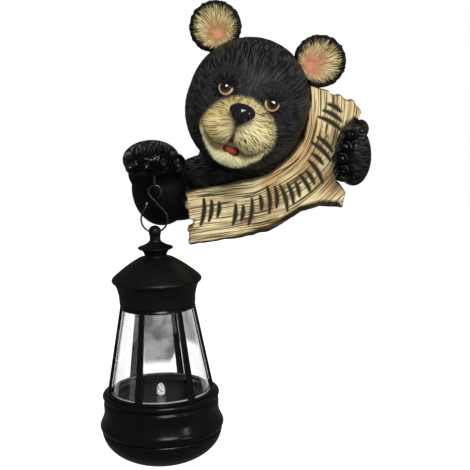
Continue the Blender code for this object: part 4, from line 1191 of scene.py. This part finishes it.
# The base: black satin plastic moulded in one, a ring with a rounded lip, a plain band and a bold ridge,
# with the lamp's floor in it and hollow below that.
LIP_WIDTH = 4.8 * MM
LIP_ROUND = 2.2 * MM
BAND_SETBACK = 0.7 * MM
BAND_HEIGHT = 19.0 * MM
RIDGE_STANDS = 2.4 * MM
RIDGE_HEIGHT = 7.0 * MM
BASE_WALL = 2.2 * MM
FLOOR_THICKNESS = 2.0 * MM
BOWL_INSET = 1.4 * MM
BOWL_DEPTH = 23.8 * MM
BOWL_WALL = 1.8 * MM
lip = band - CAGE_HEIGHT - FIT
floor_height = lip - FLOOR_SINK
base_foot = lip - BAND_HEIGHT - RIDGE_HEIGHT
ridge = base_foot + RIDGE_HEIGHT / 2.0
inner = wall_outer(foot) + FIT
outer = inner + LIP_WIDTH
waist = outer - BAND_SETBACK
wide = outer + RIDGE_STANDS
well = [(0.0, floor_height), (inner - 1.0 * MM, floor_height), (inner, floor_height + 0.4 * MM),
        (inner, lip - 0.4 * MM), (inner + 0.4 * MM, lip)]
shell = [(inner + 0.45 * LIP_WIDTH, lip)]
shell += arc((outer - LIP_ROUND, lip - LIP_ROUND), LIP_ROUND, 80.0, -30.0, 9)
shell += [(waist - 0.9 * MM, lip - 0.27 * BAND_HEIGHT), (waist - 0.8 * MM, lip - 0.30 * BAND_HEIGHT),
          (waist + 0.2 * MM, lip - 0.36 * BAND_HEIGHT), (waist, lip - 0.55 * BAND_HEIGHT),
          (waist, lip - 0.75 * BAND_HEIGHT),
          (outer + 0.5 * RIDGE_STANDS, ridge + 0.45 * RIDGE_HEIGHT), (wide, ridge + 0.15 * RIDGE_HEIGHT),
          (wide, ridge - 0.12 * RIDGE_HEIGHT), (wide - 0.9 * MM, ridge - 0.4 * RIDGE_HEIGHT),
          (wide - BOWL_INSET, base_foot)]
hollow = [(wide - BOWL_INSET - BASE_WALL, base_foot), (waist - BASE_WALL, lip - 0.75 * BAND_HEIGHT),
          (waist - BASE_WALL, floor_height - FLOOR_THICKNESS), (0.0, floor_height - FLOOR_THICKNESS)]
base = turned("base", well + rounded(shell) + hollow)
belongs(base, LANTERN_BLACK, "lantern_base")

# The bowl: the round lower cover, moulded of the same black plastic, hollow, its rim just under the
# base's foot.
bowl_radius = wide - BOWL_INSET
bowl_rim = base_foot - FIT
quarter = [radians(90.0 * i / 30.0) for i in range(3, 30)]
cup_radius = bowl_radius - BOWL_WALL
inside = [(cup_radius, bowl_rim)]
inside += [(cup_radius * cos(a), bowl_rim - (BOWL_DEPTH - BOWL_WALL) * sin(a)) for a in quarter]
outside = arc((bowl_radius - 1.5 * MM, bowl_rim - 1.7 * MM), 1.7 * MM, 90.0, 10.0, 9)
outside += [(bowl_radius * cos(a), bowl_rim - BOWL_DEPTH * sin(a)) for a in quarter]
bowl_bottom = bowl_rim - BOWL_DEPTH
bowl = turned("bowl", [(0.0, bowl_bottom + BOWL_WALL)] + inside[::-1] + outside + [(0.0, bowl_bottom)])
belongs(bowl, LANTERN_BLACK, "lantern_bowl")

# The lamp: a small clear plastic bulb, moulded with facets like a gem, that stands on the base's floor
# and has specks in it that glow as painted glints.
LED_RADIUS = 2.9 * MM
LED_HEIGHT = 8.0 * MM
LED_FACETS = 9
LED_ROWS = [(0.72, 0.0), (1.0, 0.12), (1.0, 0.35), (0.9, 0.62), (0.62, 0.86), (0.28, 0.98)]
gem, tree, shader = new_paint("clear_lamp", {
    "Base Color": (0.95, 0.95, 0.93, 1.0), "Transmission Weight": 0.45, "Roughness": 0.04, "IOR": 1.5,
    "Emission Color": (1.0, 1.0, 0.97, 1.0)})
object_place = add_node(tree, "ShaderNodeTexCoord").outputs["Object"]
# Painted glints: small specks of the lamp glow.
glint_cells = add_node(tree, "ShaderNodeTexVoronoi", {"Vector": object_place, "Scale": 650.0})
glint_glow = add_node(tree, "ShaderNodeMapRange", {"Value": glint_cells, "From Min": 0.25, "From Max": 0.45,
                                               "To Min": 0.9, "To Max": 0.0})
feed(tree, shader, {"Emission Strength": glint_glow})
form = bmesh.new()
facet_rings = []
for number, (out, height) in enumerate(LED_ROWS):
    ring = []
    for corner in range(LED_FACETS):
        angle = 2.0 * pi * (corner + 0.5 * (number % 2)) / LED_FACETS
        ring.append(form.verts.new((AXIS[0] + LED_RADIUS * out * cos(angle),
                                    AXIS[1] + LED_RADIUS * out * sin(angle),
                                    floor_height + FIT + LED_HEIGHT * height)))
    facet_rings.append(ring)
for number, (lower, upper) in enumerate(zip(facet_rings, facet_rings[1:])):
    for corner in range(LED_FACETS):
        after = (corner + 1) % LED_FACETS
        if number % 2 == 0:
            form.faces.new((lower[corner], lower[after], upper[corner]))
            form.faces.new((lower[after], upper[after], upper[corner]))
        else:
            form.faces.new((lower[corner], upper[after], upper[corner]))
            form.faces.new((lower[corner], lower[after], upper[after]))
form.faces.new(facet_rings[0])
form.faces.new(facet_rings[-1])
bmesh.ops.recalc_face_normals(form, faces=form.faces)
lamp = link("lamp", mesh_of("lamp", form))
belongs(lamp, gem, "led")
